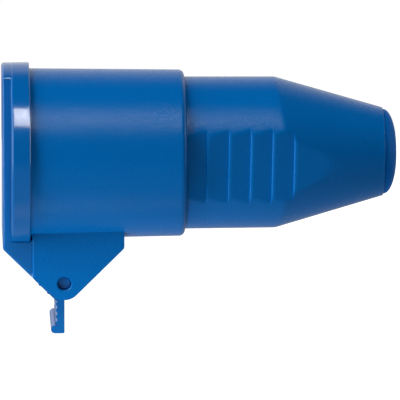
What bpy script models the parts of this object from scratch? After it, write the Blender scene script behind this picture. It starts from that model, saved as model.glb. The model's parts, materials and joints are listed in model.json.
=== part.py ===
"""Trailing pin-and-sleeve socket for a cable end, with a sprung hinged lid.

The long axis is X: the lid closes the open end at -X and the cable enters at +X.
The origin is the centre of the contact carrier's front face. +Z is up, and the
lid's hinge hangs below the shroud. All lengths are in metres.
"""

import math

import bmesh
import bpy
from mathutils import Matrix
from mathutils import Vector

MM = 0.001

# Gaps between pieces
TOUCH_GAP = 0.3 * MM
SLIDE_GAP = 0.5 * MM
CUT_MARGIN = 1.0 * MM
MERGE_DISTANCE = 0.001 * MM

# Roundness of turned pieces
LARGE_STEPS = 48
MEDIUM_STEPS = 36
SMALL_STEPS = 16
SCREW_STEPS = 12
ARC_STEPS = 4
SHARP_ANGLE = math.radians(32)
BEVEL_ANGLE = math.radians(40)
WIRE_ROUNDNESS = 1

# Shroud of the front housing
SOCKET_BORE_RADIUS = 26.0 * MM
SHROUD_WALL = 2.4 * MM
SHROUD_DRAFT = 0.7 * MM
SHROUD_LENGTH = 53.9 * MM
RIM_LEAD = 3.0 * MM
RIM_STEP = 0.5 * MM
EDGE_BREAK = 0.5 * MM
FLOOR_DEPTH = 35.4 * MM
FLOOR_THICKNESS = 2.5 * MM
REAR_WALL = 2.1 * MM
REAR_LIP = 0.3 * MM
KEYWAY_WIDTH = 9.0 * MM
KEYWAY_DEPTH = 1.2 * MM

# Lid
LID_CLEARANCE = 0.4 * MM
LID_WALL = 1.6 * MM
LID_FACE_WALL = 1.8 * MM
LID_OVERLAP = 2.4 * MM
LID_EDGE_ROUND = 0.9 * MM
GASKET_THICKNESS = 1.5 * MM
GASKET_WIDTH = 3.1 * MM
GASKET_RIB = 1.4 * MM
PANEL_HALF_WIDTH = 11.0 * MM
PANEL_RISE = 2.8 * MM
PANEL_CROWN_DROP = 0.15 * MM
PANEL_WALL = 2.0 * MM
PANEL_POCKET_HALF_HEIGHT = 23.0 * MM
CHIN_HALF_WIDTH = 15.7 * MM
CHIN_WALL = 2.0 * MM

# Hinge
PIN_RADIUS = 2.0 * MM
PIN_BEHIND_FACE = 10.7 * MM
PIN_DROP = 40.8 * MM
PIN_RECESS = 1.9 * MM
PIN_CHAMFER = 0.3 * MM
EAR_TIP_RADIUS = 5.6 * MM
EAR_INNER = 12.0 * MM
EAR_THICKNESS = 3.8 * MM
EAR_LENGTH = 30.3 * MM
EAR_LEAD_GAP = 0.9 * MM
EAR_ROOT_DEPTH = 4.8 * MM
EAR_EDGE_ROUND = 0.9 * MM
UNDERSIDE_MARGIN = 0.44 * MM
CHEEK_THICKNESS = 2.5 * MM
CHEEK_CREST = 6.6 * MM
KNUCKLE_RADIUS = 5.2 * MM
BLADE_RISE = 0.75 * MM
BLADE_THICKNESS = 2.6 * MM
BLADE_SINK = 0.3 * MM
CHEEK_INSET = 0.2 * MM
BLADE_RIDGE_RADIUS = 0.55 * MM
BLADE_RIDGE_SPACING = 4.0 * MM
BLADE_RIDGES = 2
LEVER_AHEAD_OF_PIN = 2.7 * MM
LEVER_THICKNESS = 2.8 * MM
LEVER_DROP = 18.1 * MM
LEVER_RIDGE_SPACING = 2.15 * MM
LEVER_RIDGES = 4
LEVER_FIRST_RIDGE = 0.75 * MM
LEVER_LIP_RADIUS = 1.4 * MM
LEVER_LIP_AHEAD = 0.35 * MM
SPRING_WIRE = 0.9 * MM
SPRING_CLEARANCE = 0.55 * MM
SPRING_TURNS = 6
SPRING_END_TURN = 1 / 8
SPRING_POINTS_PER_TURN = 11
SPRING_LENGTH = 11.0 * MM
SPRING_LEVER_REACH = 6.6 * MM

# Contact carrier
ANNULUS_GAP = 4.8 * MM
CARRIER_FLANGE = 2.6 * MM
CARRIER_TAIL = 2.1 * MM
KEY_WIDTH = 4.4 * MM
KEY_HEIGHT = 2.3 * MM
FACE_SKIN = 1.4 * MM

# Contacts, live and neutral alike and earth thicker
CONTACT_PITCH_RADIUS = 10.75 * MM
POLE_ANGLE = 120
POLE_PIN_RADIUS = 2.5 * MM
EARTH_PIN_RADIUS = 3.0 * MM
PIN_ENTRY_GAP = 0.2 * MM
SLEEVE_BORE_GAP = 0.1 * MM
SLEEVE_WALL = 1.2 * MM
SLEEVE_DEPTH = 34.0 * MM
SLEEVE_SLOT_LENGTH = 16.0 * MM
SLEEVE_SLOT_WIDTH = 0.8 * MM
COLLAR_STEP = 1.1 * MM
COLLAR_THICKNESS = 2.0 * MM
TERMINAL_LENGTH = 15.7 * MM
TERMINAL_STEP = 0.5 * MM
WIRE_BORE_RADIUS = 2.0 * MM
WIRE_BORE_DEPTH = 11.0 * MM
SPRING_RING_LENGTH = 3.5 * MM
SPRING_RING_SETBACK = 4.0 * MM
SPRING_RING_WALL = 0.6 * MM
SPRING_RING_SLIT = 1.2 * MM
SPRING_RING_TURN = math.radians(45)
TERMINAL_SCREW_RADIUS = 1.45 * MM
TERMINAL_SCREW_SETBACK = 5.5 * MM
TERMINAL_SCREW_HEAD_RADIUS = 2.4 * MM
TERMINAL_SCREW_HEAD = 1.8 * MM

# Screw heads
SLOT_WIDTH = 0.8 * MM
SLOT_DEPTH = 0.8 * MM

# Contact retainer and cable clamp
RETAINER_RIM = 0.65 * MM
RETAINER_THICKNESS = 5.0 * MM
RETAINER_SCREW_RADIUS = 1.5 * MM
RETAINER_SCREW_LENGTH = 16.0 * MM
RETAINER_SCREW_HEAD_RADIUS = 2.9 * MM
RETAINER_SCREW_HEAD = 2.0 * MM
CABLE_RADIUS = 4.0 * MM
CLAMP_BEHIND_RETAINER = 18.0 * MM
CLAMP_LENGTH = 10.0 * MM
CLAMP_HALF_WIDTH = 12.5 * MM
CLAMP_BAR_HEIGHT = 4.6 * MM
CLAMP_GAP = 2.4 * MM
CLAMP_BASE_DROP = 15.5 * MM
CLAMP_ARM_HALF_WIDTH = 4.2 * MM
CLAMP_ARM_HEIGHT = 4.5 * MM
CLAMP_SCREW_SPREAD = 9.0 * MM
CLAMP_SCREW_RADIUS = 1.5 * MM
CLAMP_SCREW_REACH = 8.0 * MM
CLAMP_SCREW_HEAD_RADIUS = 2.8 * MM
CLAMP_SCREW_HEAD = 2.2 * MM

# Screws that hold the housing, carrier and cover together
COVER_SCREW_CIRCLE = 16.0 * MM
COVER_SCREW_ANGLE = math.radians(60)
COVER_SCREW_RADIUS = 1.5 * MM
COVER_SCREW_HEAD_RADIUS = 3.0 * MM
COVER_SCREW_HEAD = 2.2 * MM
COVER_SCREW_SEAT = 30.0 * MM
COVER_SCREW_LENGTH = 28.0 * MM
BOSS_RADIUS = 3.3 * MM
BOSS_LENGTH = 15.0 * MM
BOSS_WEB = 4.0 * MM

# Rear cover
COVER_SIDE_FLAT = 0.9 * MM
COVER_DRAFT = 0.15 * MM
COVER_WALL = 2.8 * MM
COVER_POCKET_GAP = 0.8 * MM
COVER_POCKET_LENGTH = 7.8 * MM
HANDLE_LENGTH = 30.0 * MM
CONE_LENGTH = 35.9 * MM
CONE_END_RADIUS = 14.65 * MM
TAIL_ROUND = 0.3 * MM
TAIL_WALL = 4.2 * MM
GROOVE_SETBACK = 4.8 * MM
GROOVE_WIDTH = 2.2 * MM
GROOVE_DEPTH = 1.5 * MM
GRIP_TEETH = 6
GRIP_PITCH = 7.33 * MM
GRIP_RUN_OUT = 2
GRIP_LEAD = 0.5 * MM
GRIP_CUT = 2.0 * MM
GRIP_STEP = 1.1 * MM
GRIP_LEAN = 0.1 * MM
GRIP_WALL = 2.2 * MM

# Cable grommet
GROMMET_STEP = 0.5 * MM
GROMMET_BULGE = 4.0 * MM
GROMMET_DOME_DEPTH = 4.35 * MM
GROMMET_FULLNESS = 2.2
GROMMET_DOME_STEPS = 7
GROMMET_HOLE_EDGE = 0.2 * MM
GROMMET_NECK_RADIUS = 11.4 * MM
GROMMET_LIP = 1.1 * MM
GROMMET_LIP_THICKNESS = 2.1 * MM
GROMMET_HOLE_GAP = 0.2 * MM

# Places along the axis and radii that follow from the sizes above
RIM_X = -RIM_LEAD
SHROUD_REAR_X = RIM_X + SHROUD_LENGTH
SHROUD_FRONT_RADIUS = SOCKET_BORE_RADIUS + SHROUD_WALL
SHROUD_REAR_RADIUS = SHROUD_FRONT_RADIUS - SHROUD_DRAFT
NOSE_RADIUS = SHROUD_FRONT_RADIUS - RIM_STEP
FLOOR_REAR_X = FLOOR_DEPTH + FLOOR_THICKNESS
HANDLE_BORE_RADIUS = SHROUD_REAR_RADIUS - REAR_WALL
HANDLE_RADIUS = HANDLE_BORE_RADIUS - TOUCH_GAP
REAR_ROUND = REAR_WALL - REAR_LIP

LID_RIM_X = RIM_X + LID_OVERLAP
GASKET_FRONT_X = RIM_X - TOUCH_GAP - GASKET_THICKNESS
LID_INNER_X = GASKET_FRONT_X - TOUCH_GAP
LID_FACE_X = LID_INNER_X - LID_FACE_WALL
PANEL_FACE_X = LID_FACE_X - PANEL_RISE
LID_INNER_RADIUS = SHROUD_FRONT_RADIUS + LID_CLEARANCE
LID_RADIUS = LID_INNER_RADIUS + LID_WALL
GASKET_OUTER_RADIUS = LID_INNER_RADIUS - TOUCH_GAP
GASKET_INNER_RADIUS = GASKET_OUTER_RADIUS - GASKET_WIDTH
NOSE_END_X = LID_RIM_X - SLIDE_GAP

PIN_X = PIN_BEHIND_FACE
PIN_Z = -PIN_DROP
PIN_HOLE_RADIUS = PIN_RADIUS + TOUCH_GAP
EAR_OUTER = EAR_INNER + EAR_THICKNESS
EAR_FRONT_X = LID_RIM_X + EAR_LEAD_GAP
EAR_REAR_X = EAR_FRONT_X + EAR_LENGTH
CHEEK_OUTER = EAR_INNER - SLIDE_GAP
CHIN_REAR_X = LID_RIM_X + SLIDE_GAP
SPRING_RADIUS = PIN_RADIUS + SPRING_CLEARANCE + SPRING_WIRE / 2

CARRIER_RADIUS = SOCKET_BORE_RADIUS - ANNULUS_GAP
FLANGE_REAR_X = FLOOR_DEPTH - TOUCH_GAP
FLANGE_FRONT_X = FLANGE_REAR_X - CARRIER_FLANGE
FLANGE_RADIUS = SOCKET_BORE_RADIUS - TOUCH_GAP
CARRIER_REAR_X = FLOOR_REAR_X + CARRIER_TAIL
EARTH_SLEEVE_RADIUS = EARTH_PIN_RADIUS + SLEEVE_BORE_GAP + SLEEVE_WALL
EARTH_COLLAR_RADIUS = EARTH_SLEEVE_RADIUS + SPRING_RING_WALL + TOUCH_GAP * 2 + COLLAR_STEP
RETAINER_RADIUS = CONTACT_PITCH_RADIUS + EARTH_COLLAR_RADIUS + TOUCH_GAP + RETAINER_RIM
RETAINER_FRONT_X = CARRIER_REAR_X + TOUCH_GAP
RETAINER_REAR_X = RETAINER_FRONT_X + RETAINER_THICKNESS
COLLAR_FRONT_X = RETAINER_FRONT_X
COLLAR_REAR_X = COLLAR_FRONT_X + COLLAR_THICKNESS
TERMINAL_END_X = COLLAR_REAR_X + TERMINAL_LENGTH
TERMINAL_SCREW_X = TERMINAL_END_X - TERMINAL_SCREW_SETBACK
CLAMP_FRONT_X = RETAINER_REAR_X + CLAMP_BEHIND_RETAINER
CLAMP_REAR_X = CLAMP_FRONT_X + CLAMP_LENGTH
CLAMP_MIDDLE_X = (CLAMP_FRONT_X + CLAMP_REAR_X) / 2

COVER_FRONT_X = FLOOR_REAR_X + TOUCH_GAP
COVER_POCKET_END_X = COVER_FRONT_X + COVER_POCKET_LENGTH
CONE_START_X = SHROUD_REAR_X + HANDLE_LENGTH
TAIL_ROUND_X = CONE_START_X + CONE_LENGTH
TAIL_X = TAIL_ROUND_X + TAIL_ROUND
TAIL_WALL_X = TAIL_X - TAIL_WALL
HANDLE_SIDE_RADIUS = HANDLE_RADIUS - COVER_SIDE_FLAT
CONE_START_RADIUS = HANDLE_RADIUS - COVER_DRAFT
CONE_SLOPE = (CONE_START_RADIUS - CONE_END_RADIUS) / CONE_LENGTH
GRIP_FRONT_Y = HANDLE_SIDE_RADIUS - GRIP_CUT
GRIP_DEEPEST_Y = GRIP_FRONT_Y - GRIP_STEP - GRIP_LEAN * GRIP_TEETH
BOSS_FRONT_X = COVER_POCKET_END_X + SLIDE_GAP
BOSS_Y = COVER_SCREW_CIRCLE * math.sin(COVER_SCREW_ANGLE)
BOSS_Z = COVER_SCREW_CIRCLE * math.cos(COVER_SCREW_ANGLE)

GROMMET_FRONT_X = TAIL_X + TOUCH_GAP
GROMMET_END_X = GROMMET_FRONT_X + GROMMET_BULGE
GROMMET_RADIUS = CONE_END_RADIUS - GROMMET_STEP
GROMMET_HOLE_RADIUS = CABLE_RADIUS + GROMMET_HOLE_GAP

# Frames that turned pieces stand in
ALONG_AXIS = Matrix.Rotation(math.radians(90), 4, "Y")
ALONG_WIDTH = Matrix.Rotation(math.radians(-90), 4, "X")
HALF_STEP_ALONG_AXIS = ALONG_AXIS @ Matrix.Rotation(math.pi / LARGE_STEPS, 4, "Z")
UPRIGHT = Matrix.Identity(4)

# Planes that flat outlines are drawn in
SIDE_PLANE = Matrix.Rotation(math.radians(90), 4, "X")
END_PLANE = Matrix.Rotation(math.radians(90), 4, "Z") @ SIDE_PLANE
TOP_PLANE = Matrix.Identity(4)


def clear_scene():
    """Remove every object that is already in the scene."""
    for item in list(bpy.data.objects):
        bpy.data.objects.remove(item, do_unlink=True)


def new_collection(name):
    """Return a new collection linked to the scene."""
    group = bpy.data.collections.new(name)
    bpy.context.scene.collection.children.link(group)
    return group


clear_scene()
PARTS = new_collection("trailing_socket")
CUTTERS = new_collection("trailing_socket_cutters")


def linear(code):
    """Turn a six-digit colour code into linear red, green and blue."""
    channels = []
    for start in (0, 2, 4):
        value = int(code[start:start + 2], 16) / 255
        low = value / 12.92
        high = ((value + 0.055) / 1.055) ** 2.4
        channels.append(low if value <= 0.04045 else high)
    return channels


def new_material(name, code, roughness, metallic=0.0):
    """Make a plain material of one colour."""
    material = bpy.data.materials.new(name)
    material.use_nodes = True
    shader = material.node_tree.nodes["Principled BSDF"]
    shader.inputs["Base Color"].default_value = (*linear(code), 1.0)
    shader.inputs["Roughness"].default_value = roughness
    shader.inputs["Metallic"].default_value = metallic
    return material


BLUE_MATTE = new_material("blue_polyamide_matte", "00529B", 0.55)
BLUE_GLOSS = new_material("blue_polyamide_gloss", "0058A2", 0.30)
GREY_PLASTIC = new_material("grey_polyamide", "C9CBC6", 0.50)
BRASS = new_material("nickelled_brass", "CDBE8C", 0.30, 1.0)
STEEL = new_material("zinc_plated_steel", "B9BDC1", 0.35, 1.0)
RUBBER = new_material("black_rubber", "202124", 0.80)
BLUE_RUBBER = new_material("blue_elastomer", "004C92", 0.60)


def add_object(name, data, matrix, group):
    """Link a new object to a collection at a place."""
    item = bpy.data.objects.new(name, data)
    item.matrix_world = matrix
    group.objects.link(item)
    if group == CUTTERS:
        item.hide_render = True
        item.display_type = "WIRE"
    return item


def arc(centre, radius, start, end, steps=ARC_STEPS):
    """Return points along an arc from one angle to another, in degrees."""
    points = []
    for step in range(steps + 1):
        angle = math.radians(start + (end - start) * step / steps)
        along = centre[0] + radius * math.cos(angle)
        across = centre[1] + radius * math.sin(angle)
        points.append((along, across))
    return points


def turned(name, profile, group, frame=ALONG_AXIS, steps=LARGE_STEPS):
    """Turn a profile of (along, radius) points about the frame's Z axis.

    A profile whose ends both lie on the axis makes a solid body, and any other
    profile is closed into a ring.
    """
    area = 0.0
    for first, second in zip(profile, profile[1:] + profile[:1]):
        area += first[1] * second[0] - second[1] * first[0]
    ordered = profile if area < 0 else profile[::-1]
    points = [(radius, 0.0, along) for along, radius in ordered]
    edges = [(index, index + 1) for index in range(len(points) - 1)]
    on_axis = ordered[0][1] == 0.0 and ordered[-1][1] == 0.0
    if not on_axis:
        edges.append((len(points) - 1, 0))
    mesh = bpy.data.meshes.new(name)
    mesh.from_pydata(points, edges, [])
    item = add_object(name, mesh, frame, group)
    screw = item.modifiers.new("turn", "SCREW")
    screw.axis = "Z"
    screw.steps = steps
    screw.render_steps = steps
    screw.use_merge_vertices = True
    screw.merge_threshold = MERGE_DISTANCE
    screw.use_smooth_shade = True
    return item


def prism(name, outline, half_depth, group, plane=SIDE_PLANE, place=(0.0, 0.0, 0.0)):
    """Extrude a closed flat outline to both sides of its plane."""
    curve = bpy.data.curves.new(name, "CURVE")
    curve.dimensions = "2D"
    curve.fill_mode = "BOTH"
    curve.extrude = half_depth
    spline = curve.splines.new("POLY")
    spline.points.add(len(outline) - 1)
    for point, (along, up) in zip(spline.points, outline):
        point.co = (along, up, 0.0, 1.0)
    spline.use_cyclic_u = True
    drawn = bpy.data.objects.new(name + "_outline", curve)
    drawn.matrix_world = Matrix.Translation(Vector(place)) @ plane
    group.objects.link(drawn)
    return mesh_from_curve(name, drawn, group)


def mesh_from_curve(name, drawn, group):
    """Replace a curve object by a closed mesh object of the same shape."""
    bpy.context.view_layer.update()
    depsgraph = bpy.context.evaluated_depsgraph_get()
    mesh = bpy.data.meshes.new_from_object(drawn.evaluated_get(depsgraph))
    mesh.name = name
    body = bmesh.new()
    body.from_mesh(mesh)
    bmesh.ops.remove_doubles(body, verts=body.verts, dist=MERGE_DISTANCE)
    bmesh.ops.recalc_face_normals(body, faces=body.faces)
    body.to_mesh(mesh)
    body.free()
    item = add_object(name, mesh, drawn.matrix_world.copy(), group)
    bpy.data.objects.remove(drawn, do_unlink=True)
    return item


def block(name, low, high, group, frame=UPRIGHT):
    """Make a box between two corners of a frame."""
    size = Vector(high) - Vector(low)
    middle = (Vector(high) + Vector(low)) / 2
    body = bmesh.new()
    shape = Matrix.Translation(middle) @ Matrix.Diagonal((*size, 1.0))
    bmesh.ops.create_cube(body, size=1.0, matrix=shape)
    mesh = bpy.data.meshes.new(name)
    body.to_mesh(mesh)
    body.free()
    return add_object(name, mesh, frame, group)


def rod(name, start, end, radius, group, frame=ALONG_AXIS, steps=SMALL_STEPS):
    """Make a plain cylinder along the frame's Z axis."""
    profile = [(start, 0.0), (start, radius), (end, radius), (end, 0.0)]
    return turned(name, profile, group, frame, steps)


def rounded(item, width, segments=2):
    """Round the sharp edges of a body."""
    bevel = item.modifiers.new("edge_round", "BEVEL")
    bevel.width = width
    bevel.segments = segments
    bevel.limit_method = "ANGLE"
    bevel.angle_limit = BEVEL_ANGLE
    return item


def combine(item, tool, operation):
    """Join, cut or intersect a body with a tool body."""
    step = item.modifiers.new(tool.name, "BOOLEAN")
    step.operation = operation
    step.object = tool
    step.solver = "EXACT"


def join(item, *tools):
    """Join tool bodies to a body."""
    for tool in tools:
        combine(item, tool, "UNION")


def cut(item, *tools):
    """Cut tool bodies out of a body."""
    for tool in tools:
        combine(item, tool, "DIFFERENCE")


def finish(item, material):
    """Settle a body's modifiers into its mesh, shade it and give it a material."""
    bpy.context.view_layer.update()
    depsgraph = bpy.context.evaluated_depsgraph_get()
    mesh = bpy.data.meshes.new_from_object(item.evaluated_get(depsgraph))
    mesh.name = item.name
    item.modifiers.clear()
    item.data = mesh
    mesh.shade_smooth()
    mesh.set_sharp_from_angle(angle=SHARP_ANGLE)
    mesh.materials.clear()
    mesh.materials.append(material)
    return item


def slope_point(along, offset):
    """Return a point on the lid's 45 degree underside, moved out from it."""
    rest = PIN_X + PIN_Z - (EAR_TIP_RADIUS + UNDERSIDE_MARGIN + offset) * math.sqrt(2)
    return (along, rest - along)


def ear_outline():
    """Return the side outline of a hinge ear, a pointed shield round the pin."""
    root = -SOCKET_BORE_RADIUS + EAR_ROOT_DEPTH
    front = slope_point(EAR_FRONT_X, 0.0)
    tip = arc((PIN_X, PIN_Z), EAR_TIP_RADIUS, 225, 315, ARC_STEPS * 2)
    rear_rise = EAR_REAR_X - tip[-1][0]
    rear = (EAR_REAR_X, tip[-1][1] + rear_rise)
    return [(EAR_FRONT_X, root), front, *tip, rear, (EAR_REAR_X, root)]


def build_front_housing():
    """Shroud with its floor, keyway and the two hinge ears."""
    round_centre = (SHROUD_REAR_X - REAR_ROUND, SHROUD_REAR_RADIUS - REAR_ROUND)
    housing = turned(
        "front_housing",
        [
            (RIM_X, 0.0),
            (RIM_X, NOSE_RADIUS - EDGE_BREAK),
            (RIM_X + EDGE_BREAK, NOSE_RADIUS),
            (NOSE_END_X, NOSE_RADIUS),
            (NOSE_END_X, SHROUD_FRONT_RADIUS),
            *arc(round_centre, REAR_ROUND, 90, 0),
            (SHROUD_REAR_X, 0.0),
        ],
        PARTS,
    )
    for side in (-1, 1):
        ear = prism(
            f"ear_{side}",
            ear_outline(),
            EAR_THICKNESS / 2,
            CUTTERS,
            place=(0.0, side * (EAR_INNER + EAR_THICKNESS / 2), 0.0),
        )
        join(housing, rounded(ear, EAR_EDGE_ROUND))
    bore = turned(
        "shroud_bore",
        [
            (RIM_X - CUT_MARGIN, 0.0),
            (RIM_X - CUT_MARGIN, SOCKET_BORE_RADIUS),
            (FLOOR_DEPTH, SOCKET_BORE_RADIUS),
            (FLOOR_DEPTH, CARRIER_RADIUS + TOUCH_GAP),
            (FLOOR_REAR_X, CARRIER_RADIUS + TOUCH_GAP),
            (FLOOR_REAR_X, HANDLE_BORE_RADIUS),
            (SHROUD_REAR_X + CUT_MARGIN, HANDLE_BORE_RADIUS),
            (SHROUD_REAR_X + CUT_MARGIN, 0.0),
        ],
        CUTTERS,
    )
    keyway = block(
        "keyway",
        (RIM_X - CUT_MARGIN, -KEYWAY_WIDTH / 2, SOCKET_BORE_RADIUS - ANNULUS_GAP / 2),
        (FLOOR_DEPTH, KEYWAY_WIDTH / 2, SOCKET_BORE_RADIUS + KEYWAY_DEPTH),
        CUTTERS,
    )
    pin_frame = Matrix.Translation((PIN_X, 0.0, PIN_Z)) @ ALONG_WIDTH
    reach = EAR_OUTER + CUT_MARGIN
    pin_hole = rod("ear_pin_hole", -reach, reach, PIN_HOLE_RADIUS, CUTTERS, pin_frame)
    cut(housing, bore, keyway, pin_hole)
    return finish(housing, BLUE_MATTE)


def oval_radius(angle):
    """Return the handle's radius at an angle from the top, flatter at the sides."""
    upright = math.cos(angle) / HANDLE_RADIUS
    sideways = math.sin(angle) / HANDLE_SIDE_RADIUS
    return 1.0 / math.hypot(upright, sideways)


def ring_of(along, radius):
    """Return one ring of points, from functions of the angle from the top."""
    points = []
    for step in range(LARGE_STEPS):
        angle = 2 * math.pi * step / LARGE_STEPS
        reach = radius(angle)
        points.append((along(angle), reach * math.sin(angle), reach * math.cos(angle)))
    return points


def round_ring(along, radius):
    """Return one round ring of points across the axis."""
    return ring_of(lambda angle: along, lambda angle: radius)


def oval_ring(along):
    """Return one ring of the oval handle across the axis."""
    return ring_of(lambda angle: along, oval_radius)


def crease_ring():
    """Return the curved line where the oval handle meets the round cone."""

    def radius(angle):
        return oval_radius(angle) - COVER_DRAFT

    def along(angle):
        return CONE_START_X + (CONE_START_RADIUS - radius(angle)) / CONE_SLOPE

    return ring_of(along, radius)


def loft(name, rings, group):
    """Skin a solid over rings of points that all have the same count."""
    body = bmesh.new()
    loops = []
    for ring in rings:
        loops.append([body.verts.new(point) for point in ring])
    for before, after in zip(loops, loops[1:]):
        for index in range(len(before)):
            following = (index + 1) % len(before)
            body.faces.new((before[index], before[following], after[following], after[index]))
    body.faces.new(loops[0])
    body.faces.new(loops[-1])
    bmesh.ops.recalc_face_normals(body, faces=body.faces)
    mesh = bpy.data.meshes.new(name)
    body.to_mesh(mesh)
    body.free()
    return add_object(name, mesh, UPRIGHT, group)


def grip_outline(side):
    """Return the sawtooth plan outline that is cut from one side of the handle."""
    start = SHROUD_REAR_X - GRIP_LEAD
    outside = side * (HANDLE_RADIUS + CUT_MARGIN)
    points = [(start, outside)]
    for tooth in range(GRIP_TEETH):
        front = start + tooth * GRIP_PITCH
        shallow = GRIP_FRONT_Y - tooth * GRIP_LEAN
        last = tooth == GRIP_TEETH - 1
        reach = GRIP_PITCH * GRIP_RUN_OUT if last else GRIP_PITCH
        deep = shallow - GRIP_STEP * reach / GRIP_PITCH
        points.append((front, side * shallow))
        points.append((front + reach, side * deep))
    points.append((points[-1][0], outside))
    return points


def build_rear_cover():
    """Oval handle that runs into a round cone, hollow, with stepped side grips."""
    groove_front = COVER_FRONT_X + GROOVE_SETBACK
    groove_rear = groove_front + GROOVE_WIDTH
    groove_radius = HANDLE_RADIUS - GROOVE_DEPTH
    oval_front = SHROUD_REAR_X - GRIP_LEAD
    tail_arc = arc((TAIL_ROUND_X, CONE_END_RADIUS - TAIL_ROUND), TAIL_ROUND, 90, 0, 3)
    rings = [
        round_ring(COVER_FRONT_X, HANDLE_RADIUS - EDGE_BREAK),
        round_ring(COVER_FRONT_X + EDGE_BREAK, HANDLE_RADIUS),
        round_ring(groove_front, HANDLE_RADIUS),
        round_ring(groove_front, groove_radius),
        round_ring(groove_rear, groove_radius),
        round_ring(groove_rear, HANDLE_RADIUS),
        round_ring(groove_rear + GROOVE_WIDTH, HANDLE_RADIUS),
        oval_ring(oval_front),
        crease_ring(),
    ]
    for along, radius in tail_arc:
        rings.append(round_ring(along, radius))
    cover = loft("rear_cover", rings, PARTS)
    for side in (-1, 1):
        grip = prism(f"grip_{side}", grip_outline(side), HANDLE_RADIUS, CUTTERS, TOP_PLANE)
        cut(cover, grip)
    cut(cover, *cover_hollow())
    for side in (-1, 1):
        join(cover, *cover_boss(side))
    for side in (-1, 1):
        frame = Matrix.Translation((0.0, side * BOSS_Y, BOSS_Z)) @ ALONG_AXIS
        end = COVER_SCREW_SEAT + COVER_SCREW_LENGTH + CUT_MARGIN
        radius = COVER_SCREW_RADIUS + TOUCH_GAP
        start = BOSS_FRONT_X - CUT_MARGIN
        cut(cover, rod(f"boss_hole_{side}", start, end, radius, CUTTERS, frame))
    return finish(cover, BLUE_MATTE)


def cover_hollow():
    """Return the cutters that hollow the rear cover and open both its ends."""
    inner = HANDLE_RADIUS - COVER_WALL
    mouth = GROMMET_NECK_RADIUS + TOUCH_GAP
    lip_room = GROMMET_NECK_RADIUS + GROMMET_LIP + SLIDE_GAP
    cavity = turned(
        "cover_cavity",
        [
            (COVER_FRONT_X + CUT_MARGIN, 0.0),
            (COVER_FRONT_X + CUT_MARGIN, inner),
            (CONE_START_X, inner),
            (TAIL_WALL_X, lip_room),
            (TAIL_WALL_X, mouth),
            (TAIL_X + CUT_MARGIN, mouth),
            (TAIL_X + CUT_MARGIN, 0.0),
        ],
        CUTTERS,
    )
    side = GRIP_DEEPEST_Y - GRIP_WALL
    sides = block(
        "cover_cavity_sides",
        (COVER_FRONT_X - CUT_MARGIN, -side, -HANDLE_RADIUS),
        (TAIL_X + CUT_MARGIN * 2, side, HANDLE_RADIUS),
        CUTTERS,
    )
    combine(cavity, sides, "INTERSECT")
    pocket_radius = CARRIER_RADIUS + COVER_POCKET_GAP
    pocket_start = COVER_FRONT_X - CUT_MARGIN
    pocket = rod(
        "cover_pocket", pocket_start, COVER_POCKET_END_X, pocket_radius, CUTTERS, steps=LARGE_STEPS
    )
    return cavity, pocket


def cover_boss(side):
    """Return the bodies of one screw boss and the web that ties it to the wall."""
    frame = Matrix.Translation((0.0, side * BOSS_Y, BOSS_Z)) @ ALONG_AXIS
    rear = BOSS_FRONT_X + BOSS_LENGTH
    boss = rod(f"boss_{side}", BOSS_FRONT_X, rear, BOSS_RADIUS, CUTTERS, frame)
    wall = side * (GRIP_DEEPEST_Y - GRIP_WALL / 2)
    near, far = sorted((side * BOSS_Y, wall))
    web = block(
        f"boss_web_{side}",
        (BOSS_FRONT_X + EDGE_BREAK, near, BOSS_Z - BOSS_WEB / 2),
        (rear - EDGE_BREAK, far, BOSS_Z + BOSS_WEB / 2),
        CUTTERS,
    )
    return boss, web


def build_body_seal():
    """Rubber ring in the cover's groove, sealing against the shroud."""
    floor = HANDLE_RADIUS - GROOVE_DEPTH
    middle = (HANDLE_BORE_RADIUS + floor) / 2
    section = (HANDLE_BORE_RADIUS - floor) / 2 - TOUCH_GAP
    centre = (COVER_FRONT_X + GROOVE_SETBACK + GROOVE_WIDTH / 2, middle)
    profile = arc(centre, section, 0, 360, ARC_STEPS + 2)[:-1]
    seal = turned("body_seal", profile, PARTS, steps=MEDIUM_STEPS)
    return finish(seal, RUBBER)


def contact_frame(angle):
    """Return the frame of a contact, its Z pointing out from the middle."""
    lift = Matrix.Translation((0.0, 0.0, CONTACT_PITCH_RADIUS))
    return Matrix.Rotation(math.radians(angle), 4, "X") @ lift


class ContactSizes:
    """Radii of one contact, all following from the pin that it takes."""

    def __init__(self, name, pin_radius, angle):
        self.name = name
        self.frame = contact_frame(angle)
        self.entry = pin_radius + PIN_ENTRY_GAP
        self.bore = pin_radius + SLEEVE_BORE_GAP
        self.sleeve = self.bore + SLEEVE_WALL
        self.ring_inner = self.sleeve + TOUCH_GAP
        self.ring_outer = self.ring_inner + SPRING_RING_WALL
        self.chamber = self.ring_outer + TOUCH_GAP
        self.collar = self.chamber + COLLAR_STEP
        self.terminal = self.sleeve + TERMINAL_STEP


CONTACTS = (
    ContactSizes("earth", EARTH_PIN_RADIUS, 0),
    ContactSizes("live", POLE_PIN_RADIUS, POLE_ANGLE),
    ContactSizes("neutral", POLE_PIN_RADIUS, -POLE_ANGLE),
)


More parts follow.
